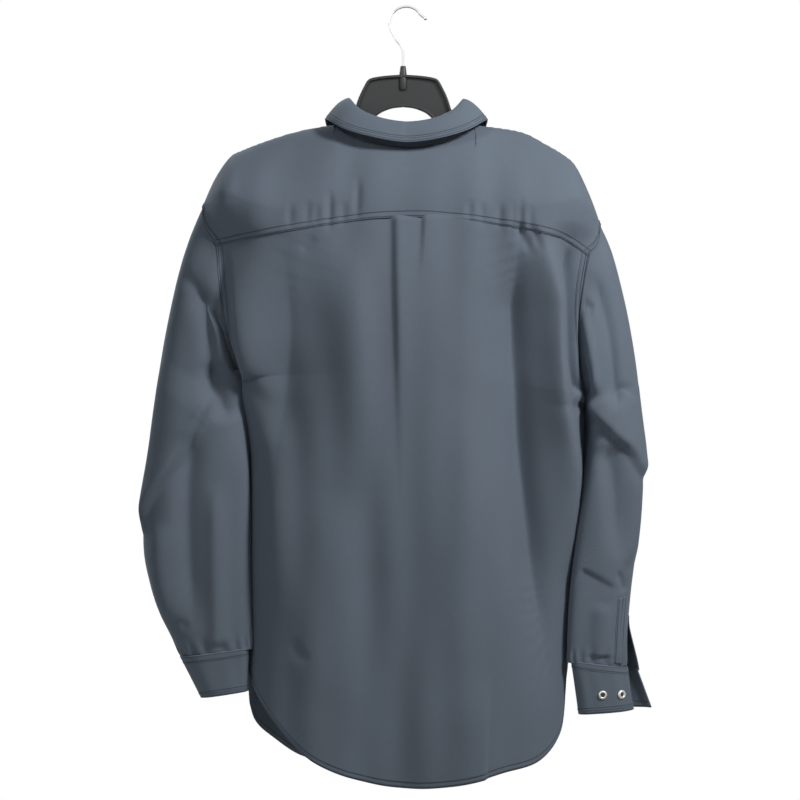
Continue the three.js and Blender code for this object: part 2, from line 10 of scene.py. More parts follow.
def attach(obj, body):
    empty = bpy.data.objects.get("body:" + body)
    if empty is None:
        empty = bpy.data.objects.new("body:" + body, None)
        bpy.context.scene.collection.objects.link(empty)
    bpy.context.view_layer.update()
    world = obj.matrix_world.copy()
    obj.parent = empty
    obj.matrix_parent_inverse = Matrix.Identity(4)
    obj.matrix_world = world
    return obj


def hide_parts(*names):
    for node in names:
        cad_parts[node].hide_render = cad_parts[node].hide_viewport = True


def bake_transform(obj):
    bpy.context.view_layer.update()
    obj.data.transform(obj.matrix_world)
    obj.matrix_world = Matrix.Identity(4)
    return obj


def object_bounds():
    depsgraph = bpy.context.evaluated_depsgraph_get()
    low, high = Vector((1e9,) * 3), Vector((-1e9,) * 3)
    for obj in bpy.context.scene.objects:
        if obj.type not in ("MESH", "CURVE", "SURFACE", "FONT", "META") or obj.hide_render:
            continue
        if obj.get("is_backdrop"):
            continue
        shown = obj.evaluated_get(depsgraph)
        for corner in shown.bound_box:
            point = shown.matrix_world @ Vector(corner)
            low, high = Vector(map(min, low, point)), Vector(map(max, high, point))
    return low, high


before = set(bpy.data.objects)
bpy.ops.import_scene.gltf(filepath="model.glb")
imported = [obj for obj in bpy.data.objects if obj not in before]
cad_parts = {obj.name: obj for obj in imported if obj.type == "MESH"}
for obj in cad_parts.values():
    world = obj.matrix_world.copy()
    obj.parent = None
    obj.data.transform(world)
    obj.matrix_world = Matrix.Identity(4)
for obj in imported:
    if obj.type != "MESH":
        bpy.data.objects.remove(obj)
cad_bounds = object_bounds()
scene = bpy.context.scene


# ---- The view and the light ----
# A level camera looks at the jacket's back. A soft key stands to its right and above, a weak fill on
# the other side and a third light in front, over a pale floor in white surroundings.
LENS_MM = 115
CAMERA_AT = (0.00375, 3.2, -0.491)
camera = bpy.data.objects.new("camera", bpy.data.cameras.new("camera"))
camera.data.lens = LENS_MM
camera.data.sensor_width = 36
camera.data.clip_end = 60
camera.location = CAMERA_AT
camera.rotation_euler = (math.pi / 2, 0, math.pi)
scene.collection.objects.link(camera)
scene.camera = camera
scene.view_settings.view_transform = "Standard"

AIM = Vector((0, 0, -0.3))


def soft_light(name, at, size, watts):
    light = bpy.data.objects.new(name, bpy.data.lights.new(name, "AREA"))
    light.data.shape = "DISK"
    light.data.size = size
    light.data.energy = watts
    light.location = at
    light.rotation_mode = "QUATERNION"
    light.rotation_quaternion = (AIM - Vector(at)).to_track_quat("-Z", "Y")
    scene.collection.objects.link(light)


soft_light("key", (-1.2, 1.1, 0.68), 0.4, 32)
soft_light("fill", (1.0, 1.6, 0.7), 0.6, 8)
soft_light("front_key", (2.2, -2.6, 1.2), 1.2, 50)

WORLD_LIGHT = 0.05
world = bpy.data.worlds.new("studio")
scene.world = world
world.use_nodes = True
sky = world.node_tree.nodes
sky_links = world.node_tree.links
dim = sky["Background"]
white = sky.new("ShaderNodeBackground")
for backdrop, strength in ((dim, WORLD_LIGHT), (white, 1.0)):
    backdrop.inputs["Color"].default_value = (1, 1, 1, 1)
    backdrop.inputs["Strength"].default_value = strength
ray = sky.new("ShaderNodeLightPath")
seen = sky.new("ShaderNodeMath")
seen.operation = "MAXIMUM"
sky_links.new(ray.outputs["Is Camera Ray"], seen.inputs[0])
sky_links.new(ray.outputs["Is Glossy Ray"], seen.inputs[1])
either_sky = sky.new("ShaderNodeMixShader")
for socket, source in enumerate((seen, dim, white)):
    sky_links.new(source.outputs[0], either_sky.inputs[socket])
sky_links.new(either_sky.outputs[0], sky["World Output"].inputs["Surface"])

FLOOR_Z = -1.75
floor_shape = bmesh.new()
bmesh.ops.create_grid(floor_shape, x_segments=1, y_segments=1, size=3.0)
bmesh.ops.translate(floor_shape, vec=(0, 0, FLOOR_Z), verts=floor_shape.verts)
floor_mesh = bpy.data.meshes.new("floor")
floor_shape.to_mesh(floor_mesh)
floor_shape.free()
floor = bpy.data.objects.new("floor", floor_mesh)
scene.collection.objects.link(floor)
floor_paint = bpy.data.materials.new("floor_paint")
floor_paint.use_nodes = True
paint_tree = floor_paint.node_tree
painted = paint_tree.nodes["Principled BSDF"]
painted.inputs["Base Color"].default_value = (0.85, 0.85, 0.84, 1)
painted.inputs["Roughness"].default_value = 0.9
painted.inputs["Emission Strength"].default_value = 1.0
floor_seen = paint_tree.nodes.new("ShaderNodeLightPath")
floor_tint = paint_tree.nodes.new("ShaderNodeMix")
floor_tint.data_type = "RGBA"
floor_tint.inputs["A"].default_value = (0, 0, 0, 1)
floor_tint.inputs["B"].default_value = (0.62, 0.62, 0.61, 1)
paint_tree.links.new(floor_seen.outputs["Is Camera Ray"], floor_tint.inputs["Factor"])
paint_tree.links.new(floor_tint.outputs["Result"], painted.inputs["Emission Color"])
floor_mesh.materials.append(floor_paint)
floor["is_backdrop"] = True


# ---- Hook ----
# One length of plated steel wire, bent round and turned in at the tip, where a ball is upset on it.
# A head below holds it in the hanger's boss, so it swivels.
MM = 0.001
WIRE_R = 1.75
HOOK_R = 21
HOOK_X = -4
HEAD_Z = -97
HEAD_R = 3.2
HOOK_TIP = (-28, -13)
WIRE_SAMPLES = 160
BALL_R = 2.6


def along(points, share):
    """The smooth curve through the points, at shares of its run from 0 to 1."""
    p = np.array(points, float)
    last = len(p) - 1
    t = np.clip(np.asarray(share, float), 0, 1) * last
    i = np.minimum(t.astype(int), last - 1)
    f = (t - i)[..., None]
    before, here = p[np.maximum(i - 1, 0)], p[i]
    there, after = p[i + 1], p[np.minimum(i + 2, last)]
    leave, arrive = (there - before) / 2, (after - here) / 2
    cubic = (2 * here - 2 * there + leave + arrive) * f**3
    return cubic + (3 * there - 3 * here - 2 * leave - arrive) * f**2 + leave * f + here


def link(name, mesh, *materials):
    piece = bpy.data.objects.new(name, mesh)
    scene.collection.objects.link(piece)
    for material in materials:
        mesh.materials.append(material)
    return piece


def smooth_shaded(mesh):
    mesh.polygons.foreach_set("use_smooth", [True] * len(mesh.polygons))
    return mesh


def curve_mesh(name, splines, bevel, resolution=4, extrude=0.0, flat=False, cyclic=False):
    """Curves through points in metres, made a mesh."""
    data = bpy.data.curves.new(name, "CURVE")
    data.dimensions = "2D" if flat else "3D"
    data.fill_mode = "BOTH" if flat else "FULL"
    data.bevel_depth = bevel
    data.bevel_resolution = resolution
    data.extrude = extrude
    data.offset = -bevel if flat else 0
    data.use_fill_caps = not flat
    for points in splines:
        spline = data.splines.new("POLY")
        spline.points.add(len(points) - 1)
        flat_list = np.column_stack([points, np.ones(len(points))]).ravel()
        spline.points.foreach_set("co", flat_list)
        spline.use_cyclic_u = cyclic
        spline.use_smooth = True
    maker = bpy.data.objects.new(name, data)
    scene.collection.objects.link(maker)
    bpy.context.view_layer.update()
    mesh = bpy.data.meshes.new_from_object(maker.evaluated_get(bpy.context.evaluated_depsgraph_get()))
    bpy.data.objects.remove(maker)
    return mesh


def node_of(nodes, kind, **settings):
    node = nodes.new(kind)
    for key, value in settings.items():
        setattr(node, key, value)
    return node


def math_node(tree, operation, a, b=None, clamp=False):
    node = node_of(tree.nodes, "ShaderNodeMath", operation=operation, use_clamp=clamp)
    for socket, value in zip(node.inputs, (a, b)):
        if value is None:
            continue
        if isinstance(value, (int, float)):
            socket.default_value = value
        else:
            tree.links.new(value, socket)
    return node.outputs[0]


def new_material(name):
    """A material with its tree, its surface and the piece's own coordinates."""
    material = bpy.data.materials.new(name)
    material.use_nodes = True
    tree = material.node_tree
    place = tree.nodes.new("ShaderNodeTexCoord")
    return material, tree, tree.nodes["Principled BSDF"], place.outputs["Object"]


def noise(tree, where, scale, detail):
    node = tree.nodes.new("ShaderNodeTexNoise")
    node.inputs["Scale"].default_value = scale
    node.inputs["Detail"].default_value = detail
    tree.links.new(where, node.inputs["Vector"])
    return node.outputs["Fac"]


def emboss(tree, surface, height, strength, distance):
    bump = tree.nodes.new("ShaderNodeBump")
    bump.inputs["Strength"].default_value = strength
    bump.inputs["Distance"].default_value = distance
    tree.links.new(height, bump.inputs["Height"])
    tree.links.new(bump.outputs["Normal"], surface.inputs["Normal"])


def plated(name, colour, roughness):
    """A bright plated metal with faint handling marks in its gloss."""
    material, tree, surface, place = new_material(name)
    surface.inputs["Base Color"].default_value = (*colour, 1)
    surface.inputs["Metallic"].default_value = 1.0
    marks = noise(tree, place, 900, 3)
    haze = math_node(tree, "MULTIPLY", marks, 0.16)
    tree.links.new(math_node(tree, "ADD", haze, roughness), surface.inputs["Roughness"])
    emboss(tree, surface, marks, 0.06, 0.0002)
    return material


chrome = plated("bright_chrome", (0.80, 0.82, 0.81), 0.06)
turn = np.radians(np.arange(-10, 151, 20))
bend = np.column_stack([HOOK_X + HOOK_R * np.cos(turn), WIRE_R - HOOK_R + HOOK_R * np.sin(turn)])
wire_route = [(0, HEAD_Z), (0, -75), (0, -57), (2, -49), (11, -36), *bend, HOOK_TIP]
wire_line = along(wire_route, np.linspace(0, 1, WIRE_SAMPLES)) * MM
wire_mesh = curve_mesh("hook", [np.insert(wire_line, 1, 0, axis=1)], WIRE_R * MM, 6)
wire_shape = bmesh.new()
wire_shape.from_mesh(wire_mesh)
ball_at = Matrix.Translation((HOOK_TIP[0] * MM, 0, HOOK_TIP[1] * MM))
bmesh.ops.create_uvsphere(wire_shape, u_segments=32, v_segments=20, radius=BALL_R * MM, matrix=ball_at)
head_at = Matrix.Translation((0, 0, HEAD_Z * MM))
bmesh.ops.create_cone(
    wire_shape, cap_ends=True, segments=32, radius1=HEAD_R * MM, radius2=HEAD_R * MM, depth=2 * MM,
    matrix=head_at,
)
wire_shape.to_mesh(wire_mesh)
wire_shape.free()
hook = link("hook", smooth_shaded(wire_mesh), chrome)
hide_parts("hook_wire")
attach(hook, "hook")


# ---- Hanger ----
# Moulded from black polypropylene: a thin web inside a raised rim with softened edges, and a round
# boss that the hook turns in. Its two arms lie inside the shoulders.
HANGER_HALF = [
    (0, -84), (22, -85.5), (38, -88), (44.5, -91.5), (50, -101), (56, -114), (61, -130), (67, -150),
    (79, -168), (104, -174), (138, -181), (166, -191), (184, -200), (189, -207), (185, -214),
    (160, -208), (123, -199), (90, -190), (60, -172), (36, -138), (18, -127), (0, -124),
]
HANGER_THICK = 11
WEB_THICK = 3.2
RIM_WIDTH = 3.5
RIM_SOFT = 0.9
BOSS = [(2.1, -73.2), (3.1, -73), (3.6, -73.6), (4.3, -80), (5.4, -88), (5.4, -101.5), (4.8, -103), (0, -103)]


def facing_y(mesh):
    """A mesh drawn in x and y is stood up in x and z."""
    mesh.transform(Matrix.Rotation(math.pi / 2, 4, "X"))
    return mesh


def turned_piece(name, profile, steps=48):
    """A round piece: a profile of radius and height in millimetres, spun about Z."""
    shape = bmesh.new()
    last = None
    for radius, height in profile:
        vertex = shape.verts.new((radius * MM, 0, height * MM))
        if last:
            shape.edges.new((last, vertex))
        last = vertex
    bmesh.ops.spin(
        shape, geom=shape.verts[:] + shape.edges[:], cent=(0, 0, 0), axis=(0, 0, 1), angle=2 * math.pi,
        steps=steps, use_merge=True,
    )
    bmesh.ops.remove_doubles(shape, verts=shape.verts, dist=1e-6)
    bmesh.ops.recalc_face_normals(shape, faces=shape.faces)
    mesh = bpy.data.meshes.new(name)
    shape.to_mesh(mesh)
    shape.free()
    return mesh


def tint(colour, strength):
    return tuple(min(c * strength, 1) for c in colour)


def blended(tree, factor, below, above):
    """Two colours mixed, each of them a value or a socket."""
    mix = node_of(tree.nodes, "ShaderNodeMix", data_type="RGBA")
    tree.links.new(factor, mix.inputs["Factor"])
    for socket, value in (("A", below), ("B", above)):
        if isinstance(value, tuple):
            mix.inputs[socket].default_value = (*value, 1)
        else:
            tree.links.new(value, mix.inputs[socket])
    return mix.outputs["Result"]


def moulded(name, colour, roughness):
    """A satin moulded plastic: fine pitted skin, slight colour drift and rubbed patches."""
    material, tree, surface, place = new_material(name)
    pits = noise(tree, place, 1400, 2)
    drift = noise(tree, place, 22, 4)
    shade = blended(tree, drift, tint(colour, 0.8), tint(colour, 1.3))
    tree.links.new(shade, surface.inputs["Base Color"])
    rub = math_node(tree, "MULTIPLY", drift, 0.14)
    tree.links.new(math_node(tree, "ADD", rub, roughness), surface.inputs["Roughness"])
    emboss(tree, surface, pits, 0.18, 0.0002)
    return material


black_plastic = moulded("hanger_black", (0.017, 0.018, 0.019), 0.42)
half = along(HANGER_HALF, np.linspace(0, 1, 150))
outline = np.vstack([half[:-1], (half * (-1, 1))[::-1][:-1]])
step_along = np.roll(outline, -1, 0) - np.roll(outline, 1, 0)
step_along /= np.linalg.norm(step_along, axis=1, keepdims=True)
inset = outline + np.column_stack([step_along[:, 1], -step_along[:, 0]]) * RIM_WIDTH
flat_outline = np.column_stack([outline, np.zeros(len(outline))]) * MM
flat_inset = np.column_stack([inset, np.zeros(len(inset))]) * MM
rim_mesh = curve_mesh(
    "rim", [flat_outline, flat_inset], RIM_SOFT * MM, 3, (HANGER_THICK / 2 - RIM_SOFT) * MM, True, True
)
web_mesh = curve_mesh("web", [flat_inset], 0.0, 0, WEB_THICK / 2 * MM, True, True)
hanger_shape = bmesh.new()
hanger_shape.from_mesh(facing_y(rim_mesh))
hanger_shape.from_mesh(facing_y(web_mesh))
hanger_shape.from_mesh(turned_piece("boss", BOSS))
bmesh.ops.remove_doubles(hanger_shape, verts=hanger_shape.verts, dist=2e-6)
hanger_mesh = bpy.data.meshes.new("hanger")
hanger_shape.to_mesh(hanger_mesh)
hanger_shape.free()
hanger = link("hanger", smooth_shaded(hanger_mesh), black_plastic)
hanger_mesh.set_sharp_from_angle(angle=math.radians(38))
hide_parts("hanger_body")
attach(hanger, "hanger")


# ---- Back panel ----
# One width of heavy cotton twill, slate grey, with a box pleat in the middle. It is felled to the
# yoke along its top, sewn to the fronts at its sides and turned up in a narrow rounded hem.
SIDES = {
    "left": {
        "sign": 1,
        "shoulder": [
            (84, -147), (129, -155), (166, -166), (200, -179), (216, -188), (234, -214), (250, -249),
        ],
        "armhole": [(250, -249), (240, -272), (231, -300), (226, -350), (213, -420), (193, -462)],
        "seam": [(193, -462), (196, -560), (197, -690), (196, -812)],
        "outer": [
            (250, -249), (268, -293), (284, -346), (300, -422), (310, -491), (317, -554), (324, -625),
            (325, -680), (316, -722), (304, -757), (289, -789), (277, -812),
        ],
        "inner": [(193, -462), (193, -522), (190, -600), (189, -700), (187, -800)],
        "cuff": [[(276, -815), (193, -803)], [(252, -862), (194, -853)]],
    },
    "right": {
        "sign": -1,
        "shoulder": [
            (-92, -148), (-146, -156), (-177, -171), (-202, -186), (-216, -200), (-233, -236), (-246, -271),
        ],
        "armhole": [(-246, -271), (-237, -291), (-228, -312), (-217, -380), (-218, -446), (-228, -494)],
        "seam": [(-228, -494), (-226, -585), (-217, -690), (-208, -815)],
        "outer": [
            (-246, -271), (-262, -308), (-275, -354), (-285, -404), (-294, -470), (-300, -554),
            (-297, -620), (-291, -680), (-285, -730), (-281, -780), (-280, -823),
        ],
        "inner": [(-228, -494), (-226, -562), (-214, -662), (-206, -745), (-204, -817)],
        "cuff": [[(-281, -828), (-211, -820)], [(-288, -877), (-220, -882)]],
    },
}
BODY_WIDTH = 410
BODY_DEPTH = 86
BODY_ROUND = 2.6
SLEEVE_ROUND = 2.3
ARMHOLE_DEPTH = 44
SEAM_FORWARD = 18
SHOULDER_FALL = 110
ARMHOLE_SHARE = 5 / 16
CLOTH_THICK = 0.9
UNSEWN = 60


def smooth(value, low, high):
    t = np.clip((value - low) / (high - low), 0, 1)
    return t * t * (3 - 2 * t)


def lerp(a, b, t):
    return a + (b - a) * t


def table(points, key=0, samples=120):
    """A value read off a smooth curve through pairs, by the first or the second of each pair."""
    line = along(points, np.linspace(0, 1, samples + 1))
    order = np.argsort(line[:, key])
    return lambda at: np.interp(at, line[order, key], line[order, 1 - key])


def unsigned(points):
    return [(abs(x), z) for x, z in points]


RIDGE = {name: table(unsigned(side["shoulder"])) for name, side in SIDES.items()}
REACH = {name: table(unsigned(side["armhole"]), 1, 160) for name, side in SIDES.items()}


def by_side(x, left, right):
    return np.where(x >= 0, left, right)


def ridge_at(x):
    return by_side(x, RIDGE["left"](np.abs(x)), RIDGE["right"](np.abs(x)))


YOKE_SEAM = table([
    (231, -300), (191, -293), (129, -283), (66, -273), (10, -268), (-34, -268), (-96, -274), (-159, -284),
    (-196, -293), (-228, -312),
])
BACK_HEM = table([
    (196, -812), (188, -846), (163, -883), (136, -916), (100, -942), (50, -960), (0, -968), (-60, -964),
    (-120, -950), (-170, -936), (-196, -906), (-204, -860), (-208, -815),
])
DEPTH = {
    "back": table([(-178, 66), (-215, 72), (-256, 78), (-330, 84), (-456, 88), (-700, 82), (-970, 66)]),
    "front": table([(-178, 84), (-232, 86), (-300, 88), (-400, 92), (-560, 92), (-760, 82), (-950, 68)]),
}


def armhole_depth(name, z):
    top, low = SIDES[name]["armhole"][0][1], SIDES[name]["armhole"][-1][1]
    down = np.clip((top - z) / (top - low), 0, 1)
    return ARMHOLE_DEPTH * (1 - np.abs(2 * down - 1) ** SLEEVE_ROUND) ** (1 / SLEEVE_ROUND)


def on_face(face, x, z, round_share):
    """The hanging body's surface at x and z. round_share is 0 in the middle and 1 at a side seam."""
    reach = by_side(x, REACH["left"](z), REACH["right"](z))
    edge = by_side(x, armhole_depth("left", z), armhole_depth("right", z))
    across = np.minimum(np.abs(x) / reach, 1)
    full = DEPTH[face](z)
    flatness = lerp(12, 3, smooth(-z, 235, 340))
    if face == "back":
        edge = edge * across**10
        flatness = np.maximum(flatness, 7)
    soft = edge + (full - edge) * (1 - across**flatness)
    turned_in = edge + (full - edge) * (1 - round_share**BODY_ROUND) ** (1 / BODY_ROUND)
    peak = by_side(x, 250.0, 246.0)
    fall = SHOULDER_FALL * np.maximum(1 - (np.abs(x) / peak) ** 4, 0) + 1
    down = np.clip((ridge_at(x) - z) / fall, 0, 1)
    power = lerp(2, 1.5, smooth(np.abs(x), 70, 140))
    rise = np.maximum(1 - (1 - down) ** power, 0) ** (1 / power)
    y = lerp(soft, turned_in, smooth(-z, 320, 450)) * rise
    underarm = by_side(x, SIDES["left"]["armhole"][-1][1], SIDES["right"]["armhole"][-1][1])
    forward = SEAM_FORWARD * round_share**6 * smooth(underarm - z, 0, 70)
    return np.stack([x, y * (1 if face == "back" else -1) - forward, z], -1)


def side_edge(name, start, v):
    side = SIDES[name]
    upper = along(side["armhole"], start + (1 - start) * v / ARMHOLE_SHARE)
    lower = along(side["seam"], (v - ARMHOLE_SHARE) / (1 - ARMHOLE_SHARE))
    return np.where((v < ARMHOLE_SHARE)[..., None], upper, lower)


def body_point(face, top, hem, start, w, v):
    """A body panel: w runs from the wearer's left to the right, v from its top seam to its hem."""
    left, right = side_edge("left", start, v), side_edge("right", start, v)
    first, last = np.zeros(1), np.ones(1)
    corner = {
        (name, end): side_edge(name, start, first if end == "top" else last)[0]
        for name in SIDES for end in ("top", "hem")
    }
    top_x = lerp(corner["left", "top"][0], corner["right", "top"][0], w)
    hem_x = lerp(corner["left", "hem"][0], corner["right", "hem"][0], w)
    rise = top(top_x) - lerp(corner["left", "top"][1], corner["right", "top"][1], w)
    drop = hem(hem_x) - lerp(corner["left", "hem"][1], corner["right", "hem"][1], w)
    x = lerp(left[..., 0], right[..., 0], w)
    z = lerp(left[..., 1], right[..., 1], w) + rise * (1 - v) + drop * np.maximum(v, 0) ** 3
    return on_face(face, x, z, np.minimum(np.abs(2 * w - 1), 1))


def back_point(w, v):
    return body_point("back", YOKE_SEAM, BACK_HEM, 0.4, w, v)


def even_across(count):
    """Shares across the back that space its columns evenly round its turned-in sides."""
    w = (1 - np.cos(np.linspace(0, np.pi, 4001))) / 2
    y = BODY_DEPTH * (1 - np.abs(2 * w - 1) ** BODY_ROUND) ** (1 / BODY_ROUND)
    run = np.append(0, np.cumsum(np.hypot(np.diff(w) * BODY_WIDTH, np.diff(y))))
    return np.interp(np.linspace(0, run[-1], count), run, w)


PATH_SAMPLES = 220


def to_path(x, z, points):
    """How far points lie to the side of a path, and their shares along it. A path that runs down
    has +X on its positive side."""
    path = along(points, np.linspace(0, 1, PATH_SAMPLES))
    heading = np.gradient(path, axis=0)
    heading /= np.linalg.norm(heading, axis=1, keepdims=True)
    gap_x = x[..., None] - path[:, 0]
    gap_z = z[..., None] - path[:, 1]
    nearest = np.argmin(gap_x**2 + gap_z**2, -1)
    dx = np.take_along_axis(gap_x, nearest[..., None], -1)[..., 0]
    dz = np.take_along_axis(gap_z, nearest[..., None], -1)[..., 0]
    return dz * heading[nearest, 0] - dx * heading[nearest, 1], nearest / (PATH_SAMPLES - 1)


def faded(share, fade):
    start = smooth(share, 0, fade[0]) if fade[0] else 1
    end = smooth(1 - share, 0, fade[1]) if fade[1] else 1
    return start * end


def crease(x, z, points, height, width, other, power, fade):
    """A long ridge, or a valley where height is below nought, wider on one side than on the other."""
    side, share = to_path(x, z, points)
    span = np.where(side > 0, width, other)
    return height * np.exp(-((np.abs(side) / span) ** power)) * faded(share, fade)


def ledge(x, z, points, height, edge, reach, fade):
    """One part of the cloth lapping over the next: it stands up on the path's positive side."""
    side, share = to_path(x, z, points)
    step = 0.5 * (1 + np.tanh(side / edge)) * np.exp(-np.maximum(side, 0) / reach)
    return height * step * faded(share, fade)


def rumple(x, z, seed):
    """Low soft waves, different on each piece."""
    draw = np.random.default_rng(seed)
    total = np.zeros_like(x)
    for _ in range(9):
        angle = draw.uniform(-0.5, 0.5)
        length = draw.uniform(38, 120)
        phase = draw.uniform(0, 2 * np.pi)
        total += np.sin((x * math.cos(angle) + z * 0.45 * math.sin(angle)) * 2 * np.pi / length + phase)
    return total * 0.22


def folded(x, z, seed, creases, ledges):
    """A piece's relief in millimetres: its waves, its creases and its ledges."""
    height = rumple(x, z, seed)
    for row in creases:
        height += crease(x, z, *row)
    for row in ledges:
        height += ledge(x, z, *row)
    return height


BACK_SCALE = 1.9
BACK_CREASES = [
    # The wearer's left of the back.
    ([(146, -275), (140, -404), (152, -491), (160, -600), (162, -700)], -9, 24, 62, 1.6, (0.25, 0.6)),
    ([(74, -290), (58, -404), (50, -516), (54, -640)], 5, 38, 26, 2, (0.3, 0.5)),
    ([(206, -290), (198, -400), (184, -480), (178, -560)], 7, 22, 24, 2, (0.3, 0.4)),
    ([(172, -500), (160, -560), (155, -640), (150, -780)], 4.5, 16, 22, 2, (0.3, 0.4)),
    ([(186, -462), (178, -484), (168, -506)], -2, 8, 9, 2, (0.2, 0.5)),
    ([(135, -782), (127, -801), (110, -812)], -1.2, 9, 7, 2, (0.4, 0.4)),
    ([(106, -291), (126, -310)], -0.9, 6, 6, 2, (0.4, 0.4)),
    # The wearer's right of the back: a pinch at the yoke and the deep fold that hangs from it.
    ([(-141, -272), (-150, -296), (-163, -318)], -2, 5, 5, 2, (0.3, 0.5)),
    ([(-158, -276), (-164, -296), (-169, -312)], -1.6, 4, 4, 2, (0.3, 0.5)),
    (
        [(-146, -268), (-138, -360), (-140, -430), (-146, -520), (-156, -600), (-170, -700), (-186, -880)],
        -16, 36, 17, 1.7, (0.22, 0.2),
    ),
    (
        [(-170, -268), (-180, -360), (-184, -430), (-190, -510), (-199, -600), (-204, -720)],
        13, 13, 18, 1.7, (0.22, 0.3),
    ),
    ([(-205, -300), (-203, -380), (-204, -440), (-216, -484)], -6.5, 7, 9, 1.6, (0.15, 0.1)),
    ([(-176, -504), (-199, -496), (-212, -501), (-226, -494)], -2.6, 9, 8, 1.6, (0.5, 0.1)),
    # The hanging middle.
    ([(-66, -470), (-72, -640), (-76, -820), (-80, -960)], 4, 42, 40, 2, (0.3, 0)),
    ([(34, -560), (30, -700), (30, -860), (24, -960)], -4, 38, 34, 2, (0.4, 0)),
    ([(92, -600), (98, -740), (96, -880)], 3, 26, 30, 2, (0.3, 0.3)),
]
# Puckers where the panel is eased on to the yoke: place, depth, top and lower end.
for at, deep, top, low in (
    (137, 1.6, -248, -284), (116, 1.6, -246, -282), (105, 1.2, -250, -280), (89, 3.0, -232, -290),
    (72, 1.4, -246, -280), (55, 2.2, -214, -276), (-82, 1.5, -244, -276), (-97, 1.5, -246, -280),
    (-119, 1.6, -246, -288), (-136, 1.8, -244, -300), (-144, 3.0, -240, -312), (-156, 2.0, -250, -306),
):
    BACK_CREASES.append(([(at, top), (at + 1.5, low)], -deep * 0.75, 4.5, 4.5, 2, (0.45, 0.5)))
HEM_STEP = [([(-106, -830), (-103, -900), (-100, -980)], 3.6, 1.8, 46, (0.5, 0))]


def back_folds(x, z):
    return folded(x, z, 3, BACK_CREASES, HEM_STEP) * BACK_SCALE


def pleat(x, z):
    """The box pleat's two edges, crisp under the yoke and lost lower down."""
    height = ledge(x, z, [(2, -640), (6, -516), (8, -420), (10, -330), (11, -262)], 8.5, 3.6, 45, (0.6, 0.05))
    return height + ledge(x, z, [(-25, -262), (-23, -300), (-20, -350)], -4.6, 1.6, 30, (0, 0.8))


def outward(points, closed=False):
    """Unit normals of a grid whose rows run down and whose columns run right, seen from outside."""
    if closed:
        wrapped = np.concatenate([points[:, -2:-1], points, points[:, 1:2]], axis=1)
        return outward(wrapped)[:, 1:-1]
    normal = np.cross(np.gradient(points, axis=0), np.gradient(points, axis=1))
    return normal / np.maximum(np.linalg.norm(normal, axis=-1, keepdims=True), 1e-9)


def runs(points):
    """Lengths along each row and down each column of a grid."""
    across = np.linalg.norm(np.diff(points, axis=1), axis=-1)
    down = np.linalg.norm(np.diff(points, axis=0), axis=-1)
    zero_a, zero_d = np.zeros((len(points), 1)), np.zeros((1, points.shape[1]))
    return np.hstack([zero_a, np.cumsum(across, 1)]), np.vstack([zero_d, np.cumsum(down, 0)])


MARKED = 0.01


def from_edges(base, *edges):
    """How far a grid's points lie in from the nearest of the named edges. A sewn edge adds MARKED,
    because nought means that nothing is sewn."""
    across, down = runs(base)
    gaps = {"left": across, "right": across[:, -1:] - across, "top": down, "hem": down[-1] - down}
    return np.minimum.reduce([gaps[edge] for edge in edges])


def cloth(name, base, lift, material, far=None, closed=False, thick=CLOTH_THICK, evened=0):
    """A piece of cloth: a grid laid on a surface in millimetres and lifted off it along its normals.
    far holds distances from stitched edges, and evened counts the passes that smooth the normals.
    Returns the piece and its grid."""
    off = outward(base, closed)
    for _ in range(evened):
        off[1:-1] = (off[:-2] + 2 * off[1:-1] + off[2:]) / 4
    points = base + off * np.asarray(lift)[..., None]
    rows, columns = points.shape[:2]
    shape = bmesh.new()
    bmesh.ops.create_grid(shape, x_segments=columns - 1, y_segments=rows - 1, size=0.5)
    shape.verts.ensure_lookup_table()
    flat = np.array([v.co for v in shape.verts])
    i = np.rint((flat[:, 0] + 0.5) * (columns - 1)).astype(int)
    j = np.rint((0.5 - flat[:, 1]) * (rows - 1)).astype(int)
    across, down = runs(base)
    weave = shape.loops.layers.uv.new("weave")
    middle = columns // 2
    for vertex, a, b in zip(shape.verts, i, j):
        at = (across[b, a] - across[b, middle]) * MM, -down[b, a] * MM
        for loop in vertex.link_loops:
            loop[weave].uv = at
    for vertex, co in zip(shape.verts, points[j, i] * MM):
        vertex.co = co
    for key, distance in (far or {}).items():
        layer = shape.verts.layers.float.new(key)
        for vertex, value in zip(shape.verts, np.broadcast_to(distance, (rows, columns))[j, i]):
            vertex[layer] = value
    if closed:
        bmesh.ops.remove_doubles(shape, verts=shape.verts, dist=2e-5)
    for face in shape.faces:
        face.smooth = True
    mesh = bpy.data.meshes.new(name)
    shape.to_mesh(mesh)
    shape.free()
    piece = link(name, mesh, material)
    body = piece.modifiers.new("thickness", "SOLIDIFY")
    body.thickness = thick * MM
    body.offset = -1
    grid = {"points": points, "normals": outward(points, closed), "across": across, "down": down}
    return piece, grid


def group_socket(group, name, kind="NodeSocketFloat", out=False):
    group.interface.new_socket(name=name, in_out="OUTPUT" if out else "INPUT", socket_type=kind)


RIBS_PER_METRE = 900


